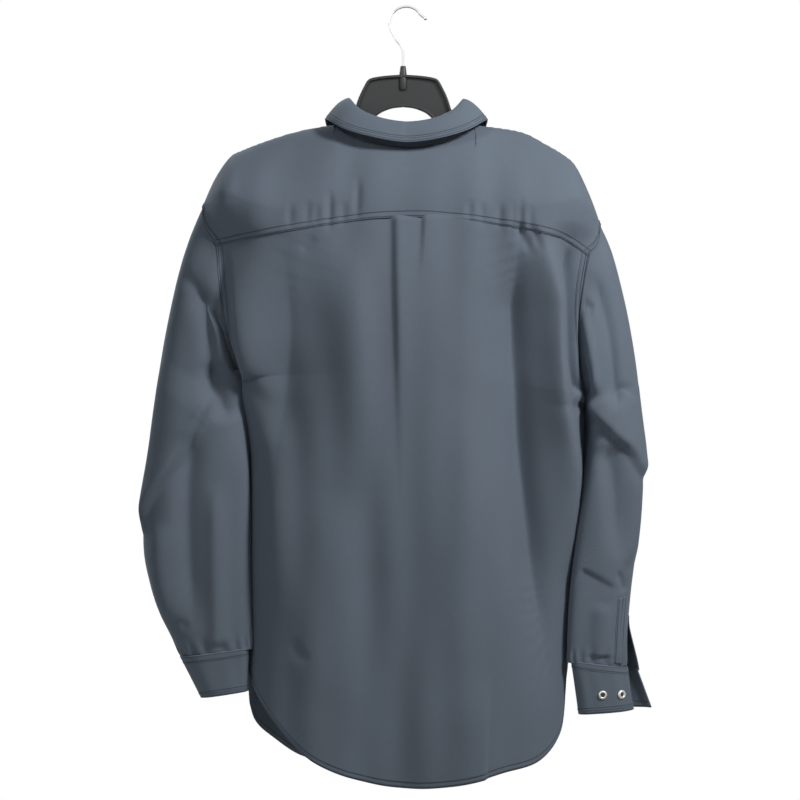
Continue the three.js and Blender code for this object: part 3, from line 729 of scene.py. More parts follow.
def twill_group():
    """Right-hand twill: diagonal ribs with uneven yarns. Reads a map in metres."""
    group = bpy.data.node_groups.new("twill", "ShaderNodeTree")
    group_socket(group, "Map", "NodeSocketVector")
    group_socket(group, "Rib", out=True)
    group_socket(group, "Yarn", out=True)
    chart = group.nodes.new("NodeGroupInput").outputs["Map"]
    leave = group.nodes.new("NodeGroupOutput")
    split = group.nodes.new("ShaderNodeSeparateXYZ")
    group.links.new(chart, split.inputs[0])
    uneven = noise(group, chart, 260, 3)
    diagonal = math_node(group, "ADD", split.outputs[0], math_node(group, "MULTIPLY", split.outputs[1], 0.6))
    phase = math_node(group, "MULTIPLY", diagonal, RIBS_PER_METRE)
    drifted = math_node(group, "ADD", phase, math_node(group, "MULTIPLY", uneven, 0.9))
    wave = math_node(group, "SINE", math_node(group, "MULTIPLY", drifted, 2 * math.pi))
    rib = math_node(group, "ADD", math_node(group, "MULTIPLY", wave, 0.5), 0.5)
    group.links.new(rib, leave.inputs["Rib"])
    stretch = node_of(group.nodes, "ShaderNodeMapping")
    stretch.inputs["Scale"].default_value = (1, 6, 1)
    group.links.new(chart, stretch.inputs["Vector"])
    group.links.new(noise(group, stretch.outputs[0], 140, 4), leave.inputs["Yarn"])
    return group


NEEDLE_ROWS = (1.6, 7.5)
NEEDLE_HALF = 0.9
RUBBED_EDGE = 1.2


def stitch_rows_group():
    """Masks of needle lines at two distances from a sewn edge, which the cloth sinks as a groove and darkens
    as painted shade, and of the rubbed edge itself.
    """
    group = bpy.data.node_groups.new("stitch_rows", "ShaderNodeTree")
    group_socket(group, "Distance")
    group_socket(group, "Line", out=True)
    group_socket(group, "Edge", out=True)
    distance = group.nodes.new("NodeGroupInput").outputs["Distance"]
    leave = group.nodes.new("NodeGroupOutput")
    lines = []
    for row in NEEDLE_ROWS:
        gap = math_node(group, "ABSOLUTE", math_node(group, "SUBTRACT", distance, row))
        lines.append(math_node(group, "SUBTRACT", 1.0, math_node(group, "DIVIDE", gap, NEEDLE_HALF), True))
    group.links.new(math_node(group, "MAXIMUM", *lines), leave.inputs["Line"])
    rim = math_node(group, "SUBTRACT", 1.0, math_node(group, "DIVIDE", distance, RUBBED_EDGE), True)
    set_on = math_node(group, "GREATER_THAN", distance, MARKED / 10)
    group.links.new(math_node(group, "MULTIPLY", rim, set_on), leave.inputs["Edge"])
    return group


twill = twill_group()
stitch_rows = stitch_rows_group()
SLATE = (0.132, 0.163, 0.203)


def cotton_twill(name, colour):
    """Flame-retardant cotton: a matt twill with soft sheen, mottled by washing, with painted shade along
    its needle lines and paler where an edge rubs."""
    material, tree, surface, place = new_material(name)
    surface.inputs["Roughness"].default_value = 0.88
    surface.inputs["Sheen Weight"].default_value = 0.18
    surface.inputs["Sheen Roughness"].default_value = 0.45
    surface.inputs["Sheen Tint"].default_value = (0.62, 0.72, 0.86, 1)
    surface.inputs["Specular IOR Level"].default_value = 0.25
    chart = node_of(tree.nodes, "ShaderNodeUVMap", uv_map="weave")
    woven = node_of(tree.nodes, "ShaderNodeGroup", node_tree=twill)
    tree.links.new(chart.outputs["UV"], woven.inputs["Map"])
    cloud = noise(tree, place, 7, 5)
    fleck = noise(tree, place, 160, 4)
    lines, rims = [], []
    for key in ("seam", "hem"):
        distance = node_of(tree.nodes, "ShaderNodeAttribute", attribute_name=key)
        sewn = node_of(tree.nodes, "ShaderNodeGroup", node_tree=stitch_rows)
        tree.links.new(distance.outputs["Fac"], sewn.inputs["Distance"])
        lines.append(sewn.outputs["Line"])
        rims.append(sewn.outputs["Edge"])
    line = math_node(tree, "MAXIMUM", *lines)
    rim = math_node(tree, "MAXIMUM", *rims)
    between_ribs = math_node(tree, "SUBTRACT", 1.0, woven.outputs["Rib"])
    shade = blended(tree, cloud, tint(colour, 0.86), tint(colour, 1.16))
    # Yarn, ribs, flecks and cloud are the cloth's own tone and the rim is paler wear; the needle-line mask
    # paints shade into the stitched grooves.
    for mask, most, strength in (
        (woven.outputs["Yarn"], 0.35, 1.3), (between_ribs, 0.1, 0.35), (fleck, 0.16, 0.6),
        (line, 0.72, 0.16), (rim, 0.3, 1.9),
    ):
        shade = blended(tree, math_node(tree, "MULTIPLY", mask, most), shade, tint(colour, strength))
    tree.links.new(shade, surface.inputs["Base Color"])
    raised = math_node(tree, "SUBTRACT", math_node(tree, "MULTIPLY", woven.outputs["Rib"], 0.12), line)
    raised = math_node(tree, "ADD", raised, math_node(tree, "MULTIPLY", fleck, 0.5))
    emboss(tree, surface, raised, 0.5, 0.0005)
    return material


cotton = cotton_twill("slate_cotton", SLATE)


def hang(piece, grid, body, held, rests_on, *nodes, slot="cotton"):
    """Hides the piece's CAD nodes, and attaches it to its body when that is a name; else bakes its transform.
    The grid and the finish slot are not used.
    """
    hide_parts(*nodes)
    if isinstance(body, str):
        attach(piece, body)
    else:
        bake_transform(piece)


BACK_COLUMNS = 216
BACK_ROWS = 200
w, v = np.meshgrid(even_across(BACK_COLUMNS), np.linspace(-0.014, 1, BACK_ROWS))
back_base = back_point(w, v)
back_x, back_z = back_base[..., 0], back_base[..., 2]
from_side = from_edges(back_base, "left", "right")
calm_edge = smooth(from_side, 2, 26)
sewn_side = np.where(v < ARMHOLE_SHARE, from_side, UNSEWN)
back_lift = (back_folds(back_x, back_z) + pleat(back_x, back_z)) * calm_edge
back_marks = {"seam": sewn_side, "hem": from_edges(back_base, "hem") + MARKED}
back, back_grid = cloth("back", back_base, back_lift, cotton, back_marks, evened=60)
hang(back, back_grid, "torso", "hung", ["hanger"], "back_panel")


def line_in(grid, distance, edge, span=(0.0, 1.0), off=0.25):
    """A needle line on a piece of cloth, at a distance in from one of its edges."""
    points = grid["points"] + grid["normals"] * off
    run = grid["down"]
    if edge in ("left", "right"):
        points, run = points.transpose(1, 0, 2), grid["across"].T
    far_end = edge in ("hem", "right")
    line = []
    for column in range(points.shape[1]):
        at = run[-1, column] - distance if far_end else distance
        line.append([np.interp(at, run[:, column], points[:, column, k]) for k in range(3)])
    first, last = int(span[0] * len(line)), int(span[1] * len(line))
    return np.array(line[first:last])


STITCH = 2.5
STITCH_PITCH = 3.5
THREAD_R = 0.3
thread = cotton_twill("slate_thread", tuple(c * 0.62 for c in SLATE))


def sew(name, lines, body):
    """Lockstitch: short lengths of thread lying along needle lines."""
    splines = []
    for line in lines:
        run = np.append(0, np.cumsum(np.linalg.norm(np.diff(line, axis=0), axis=1)))
        for start in np.arange(0.5, run[-1] - STITCH, STITCH_PITCH):
            at = start + np.linspace(0, STITCH, 3)
            splines.append(np.column_stack([np.interp(at, run, line[:, k]) for k in range(3)]) * MM)
    piece = link(name, smooth_shaded(curve_mesh(name, splines, THREAD_R * MM, 1)), thread)
    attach(piece, body)


sew("hem_thread", [line_in(back_grid, 7.5, "hem")], "torso")
ARMHOLE_SPAN = (0.02, ARMHOLE_SHARE)
ARMHOLE_ROWS = (1.6, 5.6)
armhole_rows = [line_in(back_grid, d, e, ARMHOLE_SPAN) for d in ARMHOLE_ROWS for e in ("left", "right")]
sew("armhole_thread", armhole_rows, "torso")


# ---- Yoke, its lining and the label ----
# The yoke is one piece that runs from the fronts over both shoulders. Its lower edge laps the back
# panel and is felled down with two needle lines. A lining backs it, and a blank tape is sewn in.
SHARED_EDGE = {"left": 240, "right": -237}
FRONT_NECK = {"left": 74, "right": -82}
NECK_SIDE = {"left": 84, "right": -92}
FRONT_SEAM = table([
    (240, -272), (200, -232), (150, -204), (100, -190), (72, -187), (-80, -188), (-108, -191), (-160, -212),
    (-205, -245), (-237, -291),
])
NECK_BACK = table([(84, -147), (66, -164), (34, -175), (-4, -179), (-42, -176), (-74, -165), (-92, -148)])


def yoke_top(w):
    outer = {"left": w / 0.3, "right": (1 - w) / 0.3}
    x, drop = np.zeros_like(w), np.zeros_like(w)
    for name in SIDES:
        mine = (w < 0.5) if name == "left" else (w >= 0.5)
        front = mine & (outer[name] < 1)
        edge_x = lerp(SHARED_EDGE[name], FRONT_NECK[name], outer[name])
        x = np.where(front, edge_x, x)
        drop = np.where(front, FRONT_SEAM(edge_x) - ridge_at(edge_x), drop)
        part = np.clip((outer[name] - 1) * 1.5, 0, 1)
        low = FRONT_SEAM(FRONT_NECK[name]) - RIDGE[name](0)
        rising = mine & ~front & (part < 0.25)
        x = np.where(rising, lerp(FRONT_NECK[name], NECK_SIDE[name], np.sin(part / 0.25 * np.pi / 2)), x)
        drop = np.where(rising, lerp(low, 0, part / 0.25), drop)
        behind = mine & ~front & (part >= 0.25)
        back_x = lerp(NECK_SIDE[name], -4, np.maximum((part - 0.25) / 0.75, 0) ** 1.3)
        x = np.where(behind, back_x, x)
        drop = np.where(behind, ridge_at(back_x) - NECK_BACK(back_x), drop)
    return np.stack([x, drop], -1)


def yoke_side(name, v):
    side = SIDES[name]
    low, high = along(side["armhole"], 0.4), along(side["armhole"], 0.2)
    x0, x1, peak = abs(high[0]), abs(low[0]), abs(side["armhole"][0][0])
    lower = (v - 0.35) / 0.65
    x = np.where(
        v < 0.35, lerp(x0, peak, np.sin(v / 0.35 * np.pi / 2)), lerp(peak, x1, 1 - np.cos(lower * np.pi / 2))
    )
    drop = np.where(
        v < 0.35, lerp(high[1] - RIDGE[name](x0), 0, v / 0.35), lerp(0, RIDGE[name](x1) - low[1], lower)
    )
    return np.stack([side["sign"] * x, drop], -1)


def yoke_bottom(w):
    x = lerp(yoke_side("left", np.ones(1))[0, 0], yoke_side("right", np.ones(1))[0, 0], w)
    return np.stack([x, ridge_at(x) - YOKE_SEAM(x)], -1)


def yoke_flat(w, v):
    """Where the yoke's cloth lies: x, and the distance below the shoulder ridge."""
    zero, one = np.zeros(1), np.ones(1)
    wide, tall = w[..., None], v[..., None]
    at = yoke_top(w) * (1 - tall) + yoke_bottom(w) * tall
    at += yoke_side("left", v) * (1 - wide) + yoke_side("right", v) * wide
    at -= yoke_top(zero) * (1 - wide) * (1 - tall) + yoke_top(one) * wide * (1 - tall)
    return at - yoke_bottom(zero) * (1 - wide) * tall - yoke_bottom(one) * wide * tall


def yoke_point(w, v):
    x, drop = np.moveaxis(yoke_flat(w, v), -1, 0)
    z = ridge_at(x) - np.abs(drop)
    share = np.minimum(np.abs(x) / 250, 1)
    return np.where((drop >= 0)[..., None], on_face("back", x, z, share), on_face("front", x, z, share))


def yoke_lift(w, v, off):
    x, drop = np.moveaxis(yoke_flat(w, v), -1, 0)
    z = ridge_at(x) - np.abs(drop)
    calm = smooth(np.minimum(w, 1 - w), 0, 0.06)
    return off + back_folds(x, z) * smooth(drop, 12, 60) * calm


w, v = np.meshgrid(np.linspace(0, 1, 200), np.linspace(0, 1, 120))
yoke_base = yoke_point(w, v)
yoke_marks = {"seam": from_edges(yoke_base, "left", "right"), "hem": from_edges(yoke_base, "hem") + MARKED}
yoke, yoke_grid = cloth("yoke", yoke_base, yoke_lift(w, v, 1.1), cotton, yoke_marks)
hang(yoke, yoke_grid, "torso", "draped", ["hanger"], "back_yoke")
sew("yoke_thread", [line_in(yoke_grid, d, "hem") for d in (1.6, 7.5)], "torso")
sew("yoke_side_thread", [line_in(yoke_grid, d, e) for d in (1.6, 5.6) for e in ("left", "right")], "torso")
w, v = np.meshgrid(np.linspace(0.08, 0.92, 80), np.linspace(0, 1, 24))
v = lerp(lerp(0.08, 0.6, smooth(np.abs(2 * w - 1), 0.15, 0.4)), 0.94, v)
lining, lining_grid = cloth("lining", yoke_point(w, v), yoke_lift(w, v, -3.0), cotton)
hang(lining, lining_grid, "torso", "hung", ["yoke"], "yoke_lining")
tape = cotton_twill("label_tape", (0.42, 0.44, 0.46))
w, v = np.meshgrid(np.linspace(0.44, 0.56, 20), np.linspace(0.25, 0.6, 14))
label, label_grid = cloth("label", yoke_point(w, v), yoke_lift(w, v, -4.6), tape, thick=0.4)
hang(label, label_grid, "torso", "laid", ["lining"], "neck_label", slot="label_tape")


# ---- Fronts and the press-stud band ----
# Two fronts of the same twill, each hemmed like the back. A doubled band is sewn down each edge, and
# the wearer's left one laps over the right.
FRONT_HEM = table([
    (196, -812), (195, -860), (193, -880), (186, -900), (168, -918), (128, -945), (80, -951), (10, -950),
    (-60, -946), (-130, -932), (-178, -906), (-203, -860), (-208, -815),
])
NECK_FRONT = table([
    (84, -147), (76, -176), (56, -208), (26, -228), (-4, -233), (-34, -229), (-64, -209), (-84, -177),
    (-92, -148),
])
PLACKET = (-22, 14)


def front_top(x):
    within = (x > -82) & (x < 74)
    return np.where(within, np.minimum(NECK_FRONT(x), FRONT_SEAM(x)), FRONT_SEAM(x))


def front_point(w, v):
    return body_point("front", front_top, FRONT_HEM, 0.2, w, v)


def front_share(x, v):
    left, right = side_edge("left", 0.2, v)[..., 0], side_edge("right", 0.2, v)[..., 0]
    return (left - x) / (left - right)


FRONT_CREASES = [
    ([(150, -240), (132, -420), (120, -700)], -5, 26, 30, 2, (0.3, 0.5)),
    ([(-150, -240), (-140, -420), (-130, -700)], -5, 30, 26, 2, (0.3, 0.5)),
    ([(190, -300), (176, -480), (170, -760)], 4.5, 16, 20, 2, (0.3, 0.4)),
    ([(-196, -300), (-184, -480), (-180, -760)], 4.5, 20, 16, 2, (0.3, 0.4)),
    ([(60, -480), (66, -700), (74, -950)], 4, 26, 26, 2, (0.3, 0)),
    ([(-80, -480), (-74, -700), (-70, -950)], 4, 26, 26, 2, (0.3, 0)),
]


def front_folds(x, z):
    return folded(x, z, 8, FRONT_CREASES, ()) * smooth(np.abs(x - sum(PLACKET) / 2), 18, 60)


for name, edge_x, seam_w, under in (("left", 10, 0.0, "right"), ("right", -18, 1.0, "left")):
    share, v = np.meshgrid(np.linspace(0, 1, 96), np.linspace(0.002, 1, 184))
    share = share if name == "left" else 1 - share
    angle = lerp(np.arccos(1 - 2 * front_share(edge_x, v)), math.acos(1 - 2 * seam_w), share)
    base = front_point((1 - np.cos(angle)) / 2, v)
    gap = from_edges(base, under)
    marks = {"seam": np.where(v < ARMHOLE_SHARE, gap, UNSEWN), "hem": from_edges(base, "hem") + MARKED}
    lift = front_folds(base[..., 0], base[..., 2]) * smooth(gap, 2, 26)
    piece, grid = cloth("front_cloth_" + name, base, lift, cotton, marks)
    hang(piece, grid, "torso", "hung", ["yoke"], "front_" + name)
    sew("front_hem_thread_" + name, [line_in(grid, 7.5, "hem")], "torso")

band_grids = {}
for name, lift in (("right", 0.9), ("left", 3.0)):
    u, v = np.meshgrid(np.linspace(0, 1, 16), np.linspace(0.008, 0.998, 190))
    base = front_point(front_share(lerp(*PLACKET, u), v), v)
    edge = from_edges(base, "left", "right") + MARKED
    piece, grid = cloth("band_" + name, base, np.full(u.shape, lift), cotton, {"hem": edge}, thick=1.7)
    hang(piece, grid, "torso", "hung", ["front_cloth_" + name], "placket_" + name)
    band_grids[name] = grid
    if name == "left":
        sew("band_thread", [line_in(grid, 5.0, e) for e in ("left", "right")], "torso")


# ---- Collar ----
# A shirt collar of two layers: a stand sewn round the neckline, and a fall that turns down over it,
# topstitched round its edge.
NECK_MID = -4
STAND_HEIGHT = 28
STAND_END = math.radians(187)
FALL_END = math.radians(166)
NECK_HALF = 87.5
FALL_RISE = 3.2


def neckline(turn):
    x = NECK_MID + NECK_HALF * np.sin(turn)
    behind = np.cos(turn) >= 0
    none = np.zeros_like(x)
    back_line = on_face("back", x, NECK_BACK(x), none)
    return np.where(behind[..., None], back_line, on_face("front", x, NECK_FRONT(x), none))


def stand_point(turn, up):
    lean = np.stack([-13 * np.sin(turn), 5 * np.cos(turn), np.full_like(turn, STAND_HEIGHT)], -1)
    return neckline(turn) + lean * np.asarray(up)[..., None]


def stand_top(turn):
    """How far up the stand its folded edge lies, as a share of its height."""
    return 1 + (FALL_RISE + 3 * np.abs(np.sin(turn))) / STAND_HEIGHT


def fall_point(turn, v):
    front = smooth(np.abs(turn), math.radians(100), FALL_END)
    out = lerp(13, 31, np.sin(turn) ** 2) * v**0.8 + 13 * front * v**0.3
    fall = (26 + 31 * front) * v**1.35
    at = stand_point(turn, stand_top(turn))
    return at + np.stack([np.sin(turn) * out, np.cos(turn) * out * (1 - 0.35 * front), -fall], -1)


u, v = np.meshgrid(np.linspace(0, 1, 150), np.linspace(0, 1, 14))
turn = lerp(STAND_END, -STAND_END, u)
base = stand_point(turn, lerp(stand_top(turn), 0.0, v))
stand, stand_grid = cloth("stand", base, 0.6 + 2.8 * (1 - smooth(u, 0.03, 0.08)), cotton, thick=1.6)
hang(stand, stand_grid, "torso", "folded", ["yoke"], "collar_stand")
u, v = np.meshgrid(np.linspace(0, 1, 170), np.linspace(0, 1, 26))
base = fall_point(lerp(FALL_END, -FALL_END, u), v)
edge = from_edges(base, "hem") + MARKED
wave = 0.5 * np.sin(u * 47) * v + 0.7 * np.sin(u * 19 + 1) * v
fall, grid = cloth("fall", base, wave, cotton, {"hem": edge}, thick=1.8)
hang(fall, grid, "torso", "folded", ["stand"], "collar_fall")
sew("fall_thread", [line_in(grid, 5, e) for e in ("hem", "left", "right")], "torso")


# ---- Sleeves ----
# Tubes set into the armholes with the seam felled towards the body. Each falls straight and breaks
# at the elbow.
SLEEVE_BACK = 18
SLEEVE_DEPTH = {
    "left": ([0, 0.12, 0.4, 0.75, 1], [44, 50, 44, 39, 33]),
    "right": ([0, 0.12, 0.4, 0.75, 1], [44, 54, 56, 44, 33]),
}


def rounded(wave):
    """A sine or cosine filled out, so that a tube's section is flatter than an ellipse's."""
    return np.sign(wave) * np.abs(wave) ** (2 / SLEEVE_ROUND)


def sleeve_point(name, turn, s):
    side = SIDES[name]
    outer, inner = along(side["outer"], s), along(side["inner"], s)
    share = (1 - rounded(np.cos(turn))) / 2
    at = lerp(outer, inner, share[..., None])
    top, low = np.array(side["armhole"][0], float), np.array(side["armhole"][-1], float)
    chord = lerp(top, low, share[..., None])
    bow = side["sign"] * np.maximum(REACH[name](chord[..., 1]), REACH[name](at[..., 1])) - chord[..., 0]
    y = np.interp(s, *SLEEVE_DEPTH[name]) * rounded(np.sin(turn))
    y = y + SLEEVE_BACK * share**6 * smooth(s, 0.16, 0.46)
    return np.stack([at[..., 0] + bow * (1 - smooth(s, 0, 0.3)), y, at[..., 1]], -1)


SLEEVE_SCALE = 1.5
SLEEVE_FOLDS = {
    "left": (
        21,
        [
            (
                [(284, -322), (239, -374), (216, -398), (204, -429), (196, -458)],
                -7.5, 8, 13, 1.8, (0.3, 0.1),
            ),
            ([(262, -352), (244, -392), (236, -448), (232, -500)], -6, 11, 8, 1.8, (0.25, 0.3)),
            ([(238, -440), (226, -480), (214, -520)], -9, 16, 14, 2, (0.3, 0.3)),
            ([(262, -528), (268, -600), (266, -690), (258, -780)], -6, 13, 13, 1.8, (0.2, 0.3)),
            ([(232, -590), (232, -690), (230, -800)], 4.5, 11, 13, 2, (0.3, 0.1)),
            ([(300, -640), (302, -700), (288, -780)], 4, 12, 14, 2, (0.3, 0.3)),
            ([(288, -774), (277, -768), (266, -776)], -1.2, 6, 6, 2, (0.3, 0.3)),
        ],
        [(
            [(230, -482), (246, -506), (265, -538), (277, -564), (306, -607), (319, -634), (326, -660)],
            10, 2.0, 46, (0.2, 0.05),
        )],
    ),
    "right": (
        22,
        [
            ([(-235, -331), (-255, -407), (-264, -504)], -6, 12, 10, 1.8, (0.3, 0.2)),
            ([(-222, -379), (-231, -426), (-240, -486)], 4, 6, 6, 2, (0.3, 0.2)),
            ([(-222, -437), (-230, -486)], -3, 3.5, 3.5, 2, (0.4, 0.2)),
            ([(-222, -376), (-228, -374), (-234, -380)], -2.4, 4, 4, 2, (0.2, 0.2)),
            ([(-256, -504), (-268, -481), (-280, -479), (-290, -492)], -3, 5, 5, 2, (0.3, 0.3)),
            ([(-248, -545), (-262, -610), (-264, -690)], -6, 13, 16, 1.8, (0.2, 0.4)),
            ([(-289, -560), (-288, -640), (-280, -700)], 3.5, 8, 10, 2, (0.3, 0.3)),
            ([(-265, -702), (-272, -716), (-274, -730)], -2.4, 4, 4, 2, (0.3, 0.3)),
            ([(-246, -740), (-244, -810)], 3, 12, 12, 2, (0.3, 0.1)),
        ],
        [
            (
                [(-294, -590), (-287, -572), (-278, -554), (-257, -533), (-236, -506), (-229, -488)],
                7.5, 1.8, 40, (0.2, 0.2),
            ),
            ([(-219, -699), (-239, -709), (-264, -724)], -2.6, 1.8, 30, (0.2, 0.2)),
        ],
    ),
}
TUCKED_UNDER = 2.2
SEAM_FOLD = 3
ARM_BLEND = {
    "left": ("torso", "left_sleeve", (0.333, 0, -0.161), (0.423, 0, -0.205)),
    "right": ("torso", "right_sleeve", (-0.3645, 0, -0.1766), (-0.450, 0, -0.218)),
}


def sleeve_lift(name, base, turn, s):
    x, z = base[..., 0], base[..., 2]
    fold = folded(x, z, *SLEEVE_FOLDS[name]) * SLEEVE_SCALE
    behind = smooth(np.sin(turn), 0.02, 0.5)
    calm = smooth(s, 0, 0.05) * smooth(1 - s, 0, 0.05)
    gather = 1.1 * np.sin(turn * 17) * smooth(s, 0.9, 0.97) * smooth(1 - s, 0, 0.02)
    return (fold * behind + rumple(x, z + 40, 5) * (1 - behind)) * calm + gather


for name, side in SIDES.items():
    u, s = np.meshgrid(np.linspace(-1, 1, 132), np.linspace(-0.006, 1, 170))
    turn = side["sign"] * u * np.pi
    base = sleeve_point(name, turn, np.maximum(s, 0))
    lift = sleeve_lift(name, base, turn, s) - TUCKED_UNDER * (1 - smooth(s, 0, 0.018))
    lift[:, -1] = lift[:, 0]
    marks = {"seam": from_edges(base, "top") + SEAM_FOLD}
    piece, grid = cloth("sleeve_cloth_" + name, base, lift, cotton, marks, closed=True)
    hang(piece, grid, ARM_BLEND[name], "hung", ["yoke"], "sleeve_" + name)

for name, turns, ends in (("left", (-62, -38), (0.78, 0.985)), ("right", (62, 38), (0.8, 0.985))):
    u, s = np.meshgrid(np.linspace(0, 1, 10), np.linspace(*ends, 40))
    turn = np.radians(lerp(*turns, u))
    base = sleeve_point(name, turn, s)
    lift = sleeve_lift(name, base, turn, s) + 1.0
    edge = from_edges(base, "left", "right") + MARKED
    piece, grid = cloth("vent_" + name, base, lift, cotton, {"hem": edge})
    hang(piece, grid, name + "_sleeve", "laid", ["sleeve_cloth_" + name], "sleeve_vent_" + name)
    sew("vent_thread_" + name, [line_in(grid, 2, e) for e in ("left", "right")], name + "_sleeve")

# The far lap of the right sleeve's slit swings outward towards its cuff.
u, s = np.meshgrid(np.linspace(0, 1, 20), np.linspace(0.86, 0.995, 40))
base = sleeve_point("right", np.radians(lerp(12, -46, u)), s)
base[..., 0] -= 15 * (1 - smooth(u, 0.1, 1)) * smooth(s, 0.86, 1)
base[..., 2] -= 7 * smooth(s, 0.9, 1)
edge = from_edges(base, "left") + MARKED
piece, grid = cloth("slit_lap", base, np.full(u.shape, 0.8), cotton, {"hem": edge})
hang(piece, grid, "right_sleeve", "hung", ["sleeve_cloth_right"])


# ---- Cuffs ----
# Doubled bands sewn over the sleeves' ends and topstitched all round. The wearer's left one is
# fastened, and the right one hangs open at its outer edge.
CUFF_LIFT = 1.4
CUFF_DEPTH = (33, 29)


def cuff_point(name, turn, v, flare):
    side = SIDES[name]
    (top_out, top_in), (low_out, low_in) = np.array(side["cuff"], float)
    outer = lerp(top_out, low_out, v[..., None])
    inner = lerp(top_in, low_in, v[..., None])
    share = (1 - rounded(np.cos(turn))) / 2
    at = lerp(outer, inner, share[..., None])
    y = lerp(*CUFF_DEPTH, v) * rounded(np.sin(turn)) + SLEEVE_BACK * (1 - 0.35 * v) * share**6
    return np.stack([at[..., 0] + side["sign"] * flare, y, at[..., 1]], -1)


cuff_grids = {}
for name, turns in (("left", (-110, 290)), ("right", (346, 14))):
    u, v = np.meshgrid(np.linspace(0, 1, 130), np.linspace(0, 1, 22))
    flare = (12 + 12 * v) * (1 - smooth(u, 0, 0.15)) * (name == "right")
    base = cuff_point(name, np.radians(lerp(*turns, u)), lerp(-0.09, 1, v), flare)
    overlap = 2.4 * smooth(u, 0.8, 0.9) * (name == "left")
    lift = CUFF_LIFT + overlap + 0.35 * np.sin(u * 61) * np.sin(v * 3)
    edge = from_edges(base, "top", "hem") + MARKED
    piece, grid = cloth("cuff_cloth_" + name, base, lift, cotton, {"hem": edge}, thick=1.9)
    hang(piece, grid, name + "_sleeve", "folded", ["sleeve_cloth_" + name], "cuff_" + name)
    cuff_grids[name] = grid
    rows = [line_in(grid, 9, "top"), line_in(grid, 5, "hem")]
    rows += [line_in(grid, 4, e, (0.1, 0.9)) for e in ("left", "right")]
    sew("cuff_thread_" + name, rows, name + "_sleeve")


# ---- Chest pockets and their flaps ----
# Patch pockets of one layer of the twill, topstitched round three sides. Each is under a doubled,
# pointed flap that hinges on its top seam.
THREE_SIDES = ("left", "right", "hem")
POCKET_WIDTH = 104
POCKET_TOP = -335
POCKET_DEEP = 122
FLAP_WIDTH = 110
FLAP_TOP = -323.5
FLAP_DEEP = 42
FLAP_POINT = 10
FLAT_V = np.linspace(0, 1, 1501)


def front_at(x, z):
    """The front's hanging surface at x and z."""
    rows = front_point(front_share(0.0, FLAT_V), FLAT_V)
    guess = np.interp(-z, -rows[:, 2], FLAT_V)
    for _ in range(8):
        here = front_point(front_share(x, guess), guess)
        guess = np.clip(guess + (here[..., 2] - z) / 760, 0, 1)
    return front_point(front_share(x, guess), guess)


def patch(name, x, z, lift, thick, *where):
    """A piece topstitched round three sides, lying over the front's own folds."""
    base = front_at(x, z)
    folds = front_folds(base[..., 0], base[..., 2])
    edge = from_edges(base, *THREE_SIDES) + MARKED
    piece, grid = cloth(name, base, folds + lift, cotton, {"hem": edge}, thick=thick)
    hang(piece, grid, *where)
    return grid


pocket_grids = {}
for name, middle in (("left", 92), ("right", -112)):
    u, v = np.meshgrid(np.linspace(-0.5, 0.5, 34), np.linspace(0, 1, 40))
    grid = patch(
        "pocket_cloth_" + name, middle + POCKET_WIDTH * u, POCKET_TOP - POCKET_DEEP * v, 1.6, CLOTH_THICK,
        "torso", "laid", ["front_cloth_" + name], "pocket_" + name,
    )
    sew("pocket_thread_" + name, [line_in(grid, 2, e) for e in THREE_SIDES], "torso")
    pocket_grids[name] = grid
    reach_down = FLAP_DEEP + FLAP_POINT * (1 - np.abs(2 * u))
    grid = patch(
        "flap_" + name, middle + FLAP_WIDTH * u, FLAP_TOP - v * reach_down,
        5.2 + 0.3 * smooth(v, 0.05, 0.3), 1.6,
        name + "_flap", "laid", ["pocket_cloth_" + name], "pocket_flap_" + name,
    )
    sew("flap_thread_" + name, [line_in(grid, 4, e) for e in THREE_SIDES], name + "_flap")
    pocket_grids["flap_" + name] = grid


# ---- Press studs ----
# Turned and pressed brass, nickel plated. A cap shows outside with its post under the cloth, and
# snaps on to a ring stud, whose hollow is painted black as its shade.
nickel = plated("bright_nickel", (0.62, 0.61, 0.58), 0.22)
STUD_PROFILES = {
    "cap": [(0, 0), (6.6, 0), (7, 0.35), (7, 0.8), (6.5, 1.3), (5.2, 1.9), (3.6, 2.2), (2, 2.3), (0, 2.3)],
    "post": [(0, 0), (5.4, 0), (5.6, 0.3), (5.2, 0.8), (4.2, 1.3), (2.6, 1.3), (2.3, 0.5), (0, 0.5)],
    "stud": [
        (0, 0), (5.6, 0), (5.8, 0.3), (5.6, 0.9), (4.6, 1.8), (3.6, 2), (2.9, 1.6), (2.5, 0.8), (0, 0.8),
    ],
}
PAINTED_SHADE_R = 2.6
STUD_OFF = 0.1
UNDER_CLOTH = 1.9


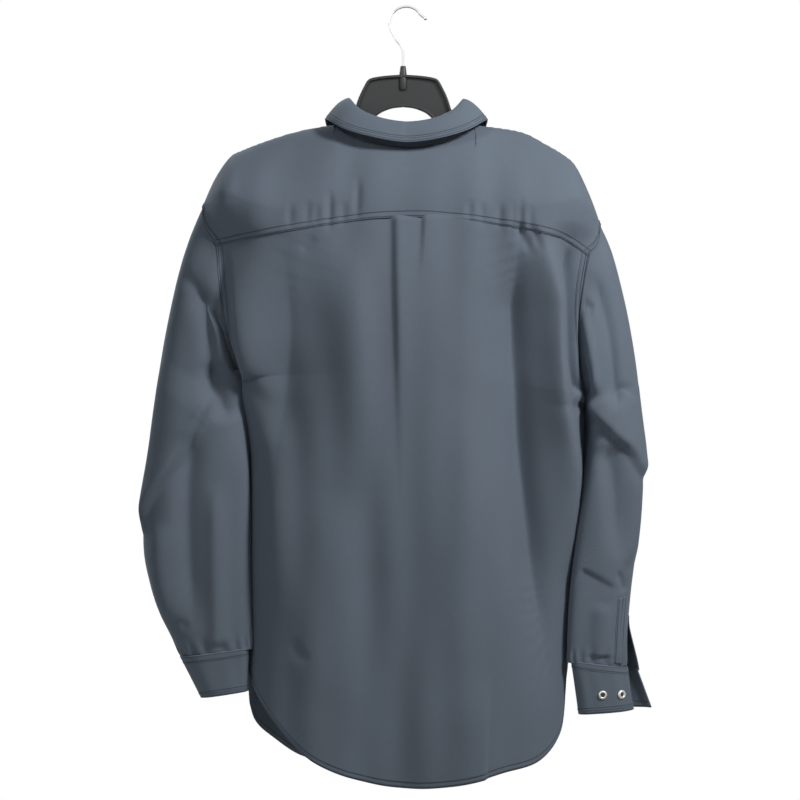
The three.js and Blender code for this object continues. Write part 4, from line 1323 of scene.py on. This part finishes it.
def press_stud(node, kind, grid, u, v, body, inside=False):
    rows, columns = grid["points"].shape[:2]
    at = int(round(v * (rows - 1))), int(round(u * (columns - 1)))
    normal = Vector(grid["normals"][at])
    height = -UNDER_CLOTH - STUD_OFF if inside else STUD_OFF
    facing = -normal if inside else normal
    mesh = turned_piece(node, STUD_PROFILES[kind])
    # Faces inside the ring stud's hollow take the black plastic as painted shade.
    painted_shade_faces = [kind == "stud" and math.hypot(*face.center.xy) < PAINTED_SHADE_R * MM for face in mesh.polygons]
    mesh.transform(facing.to_track_quat("Z", "Y").to_matrix().to_4x4())
    mesh.transform(Matrix.Translation((Vector(grid["points"][at]) + normal * height) * MM))
    piece = link("press_" + node, smooth_shaded(mesh), nickel, black_plastic)
    mesh.polygons.foreach_set("material_index", np.array(painted_shade_faces, dtype=int))
    mesh.set_sharp_from_angle(angle=math.radians(50))
    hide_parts(node)
    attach(piece, body)


for number in range(6):
    down = lerp(0.08, 0.86, number / 5)
    press_stud(f"front_snap_{number + 1}_cap", "cap", band_grids["left"], 0.5, down, "torso")
    press_stud(f"front_snap_{number + 1}_post", "post", band_grids["right"], 0.5, down, "torso", True)
press_stud("collar_snap_cap", "cap", stand_grid, 0.02, 0.5, "torso")
press_stud("collar_snap_post", "post", stand_grid, 0.98, 0.5, "torso", True)
for name in SIDES:
    press_stud(f"pocket_snap_{name}_cap", "cap", pocket_grids["flap_" + name], 0.5, 0.68, name + "_flap")
    press_stud(f"pocket_snap_{name}_stud", "stud", pocket_grids[name], 0.5, 0.17, "torso")
for name, node, kind, around, down in (
    ("left", "cap", "cap", 0.95, 0.5), ("left", "post", "post", 0.05, 0.5),
    ("left", "stud", "stud", 0.16, 0.5), ("right", "cap", "cap", 0.08, 0.6),
    ("right", "stud_1", "stud", 0.757, 0.6), ("right", "stud_2", "stud", 0.872, 0.6),
):
    sleeve, cuff = name + "_sleeve", cuff_grids[name]
    press_stud(f"cuff_snap_{name}_{node}", kind, cuff, around, down, sleeve, kind == "post")



def plain(value):
    return json.loads(json.dumps(value, default=list))


{"cad": plain(cad_bounds), "visual": plain(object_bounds())}
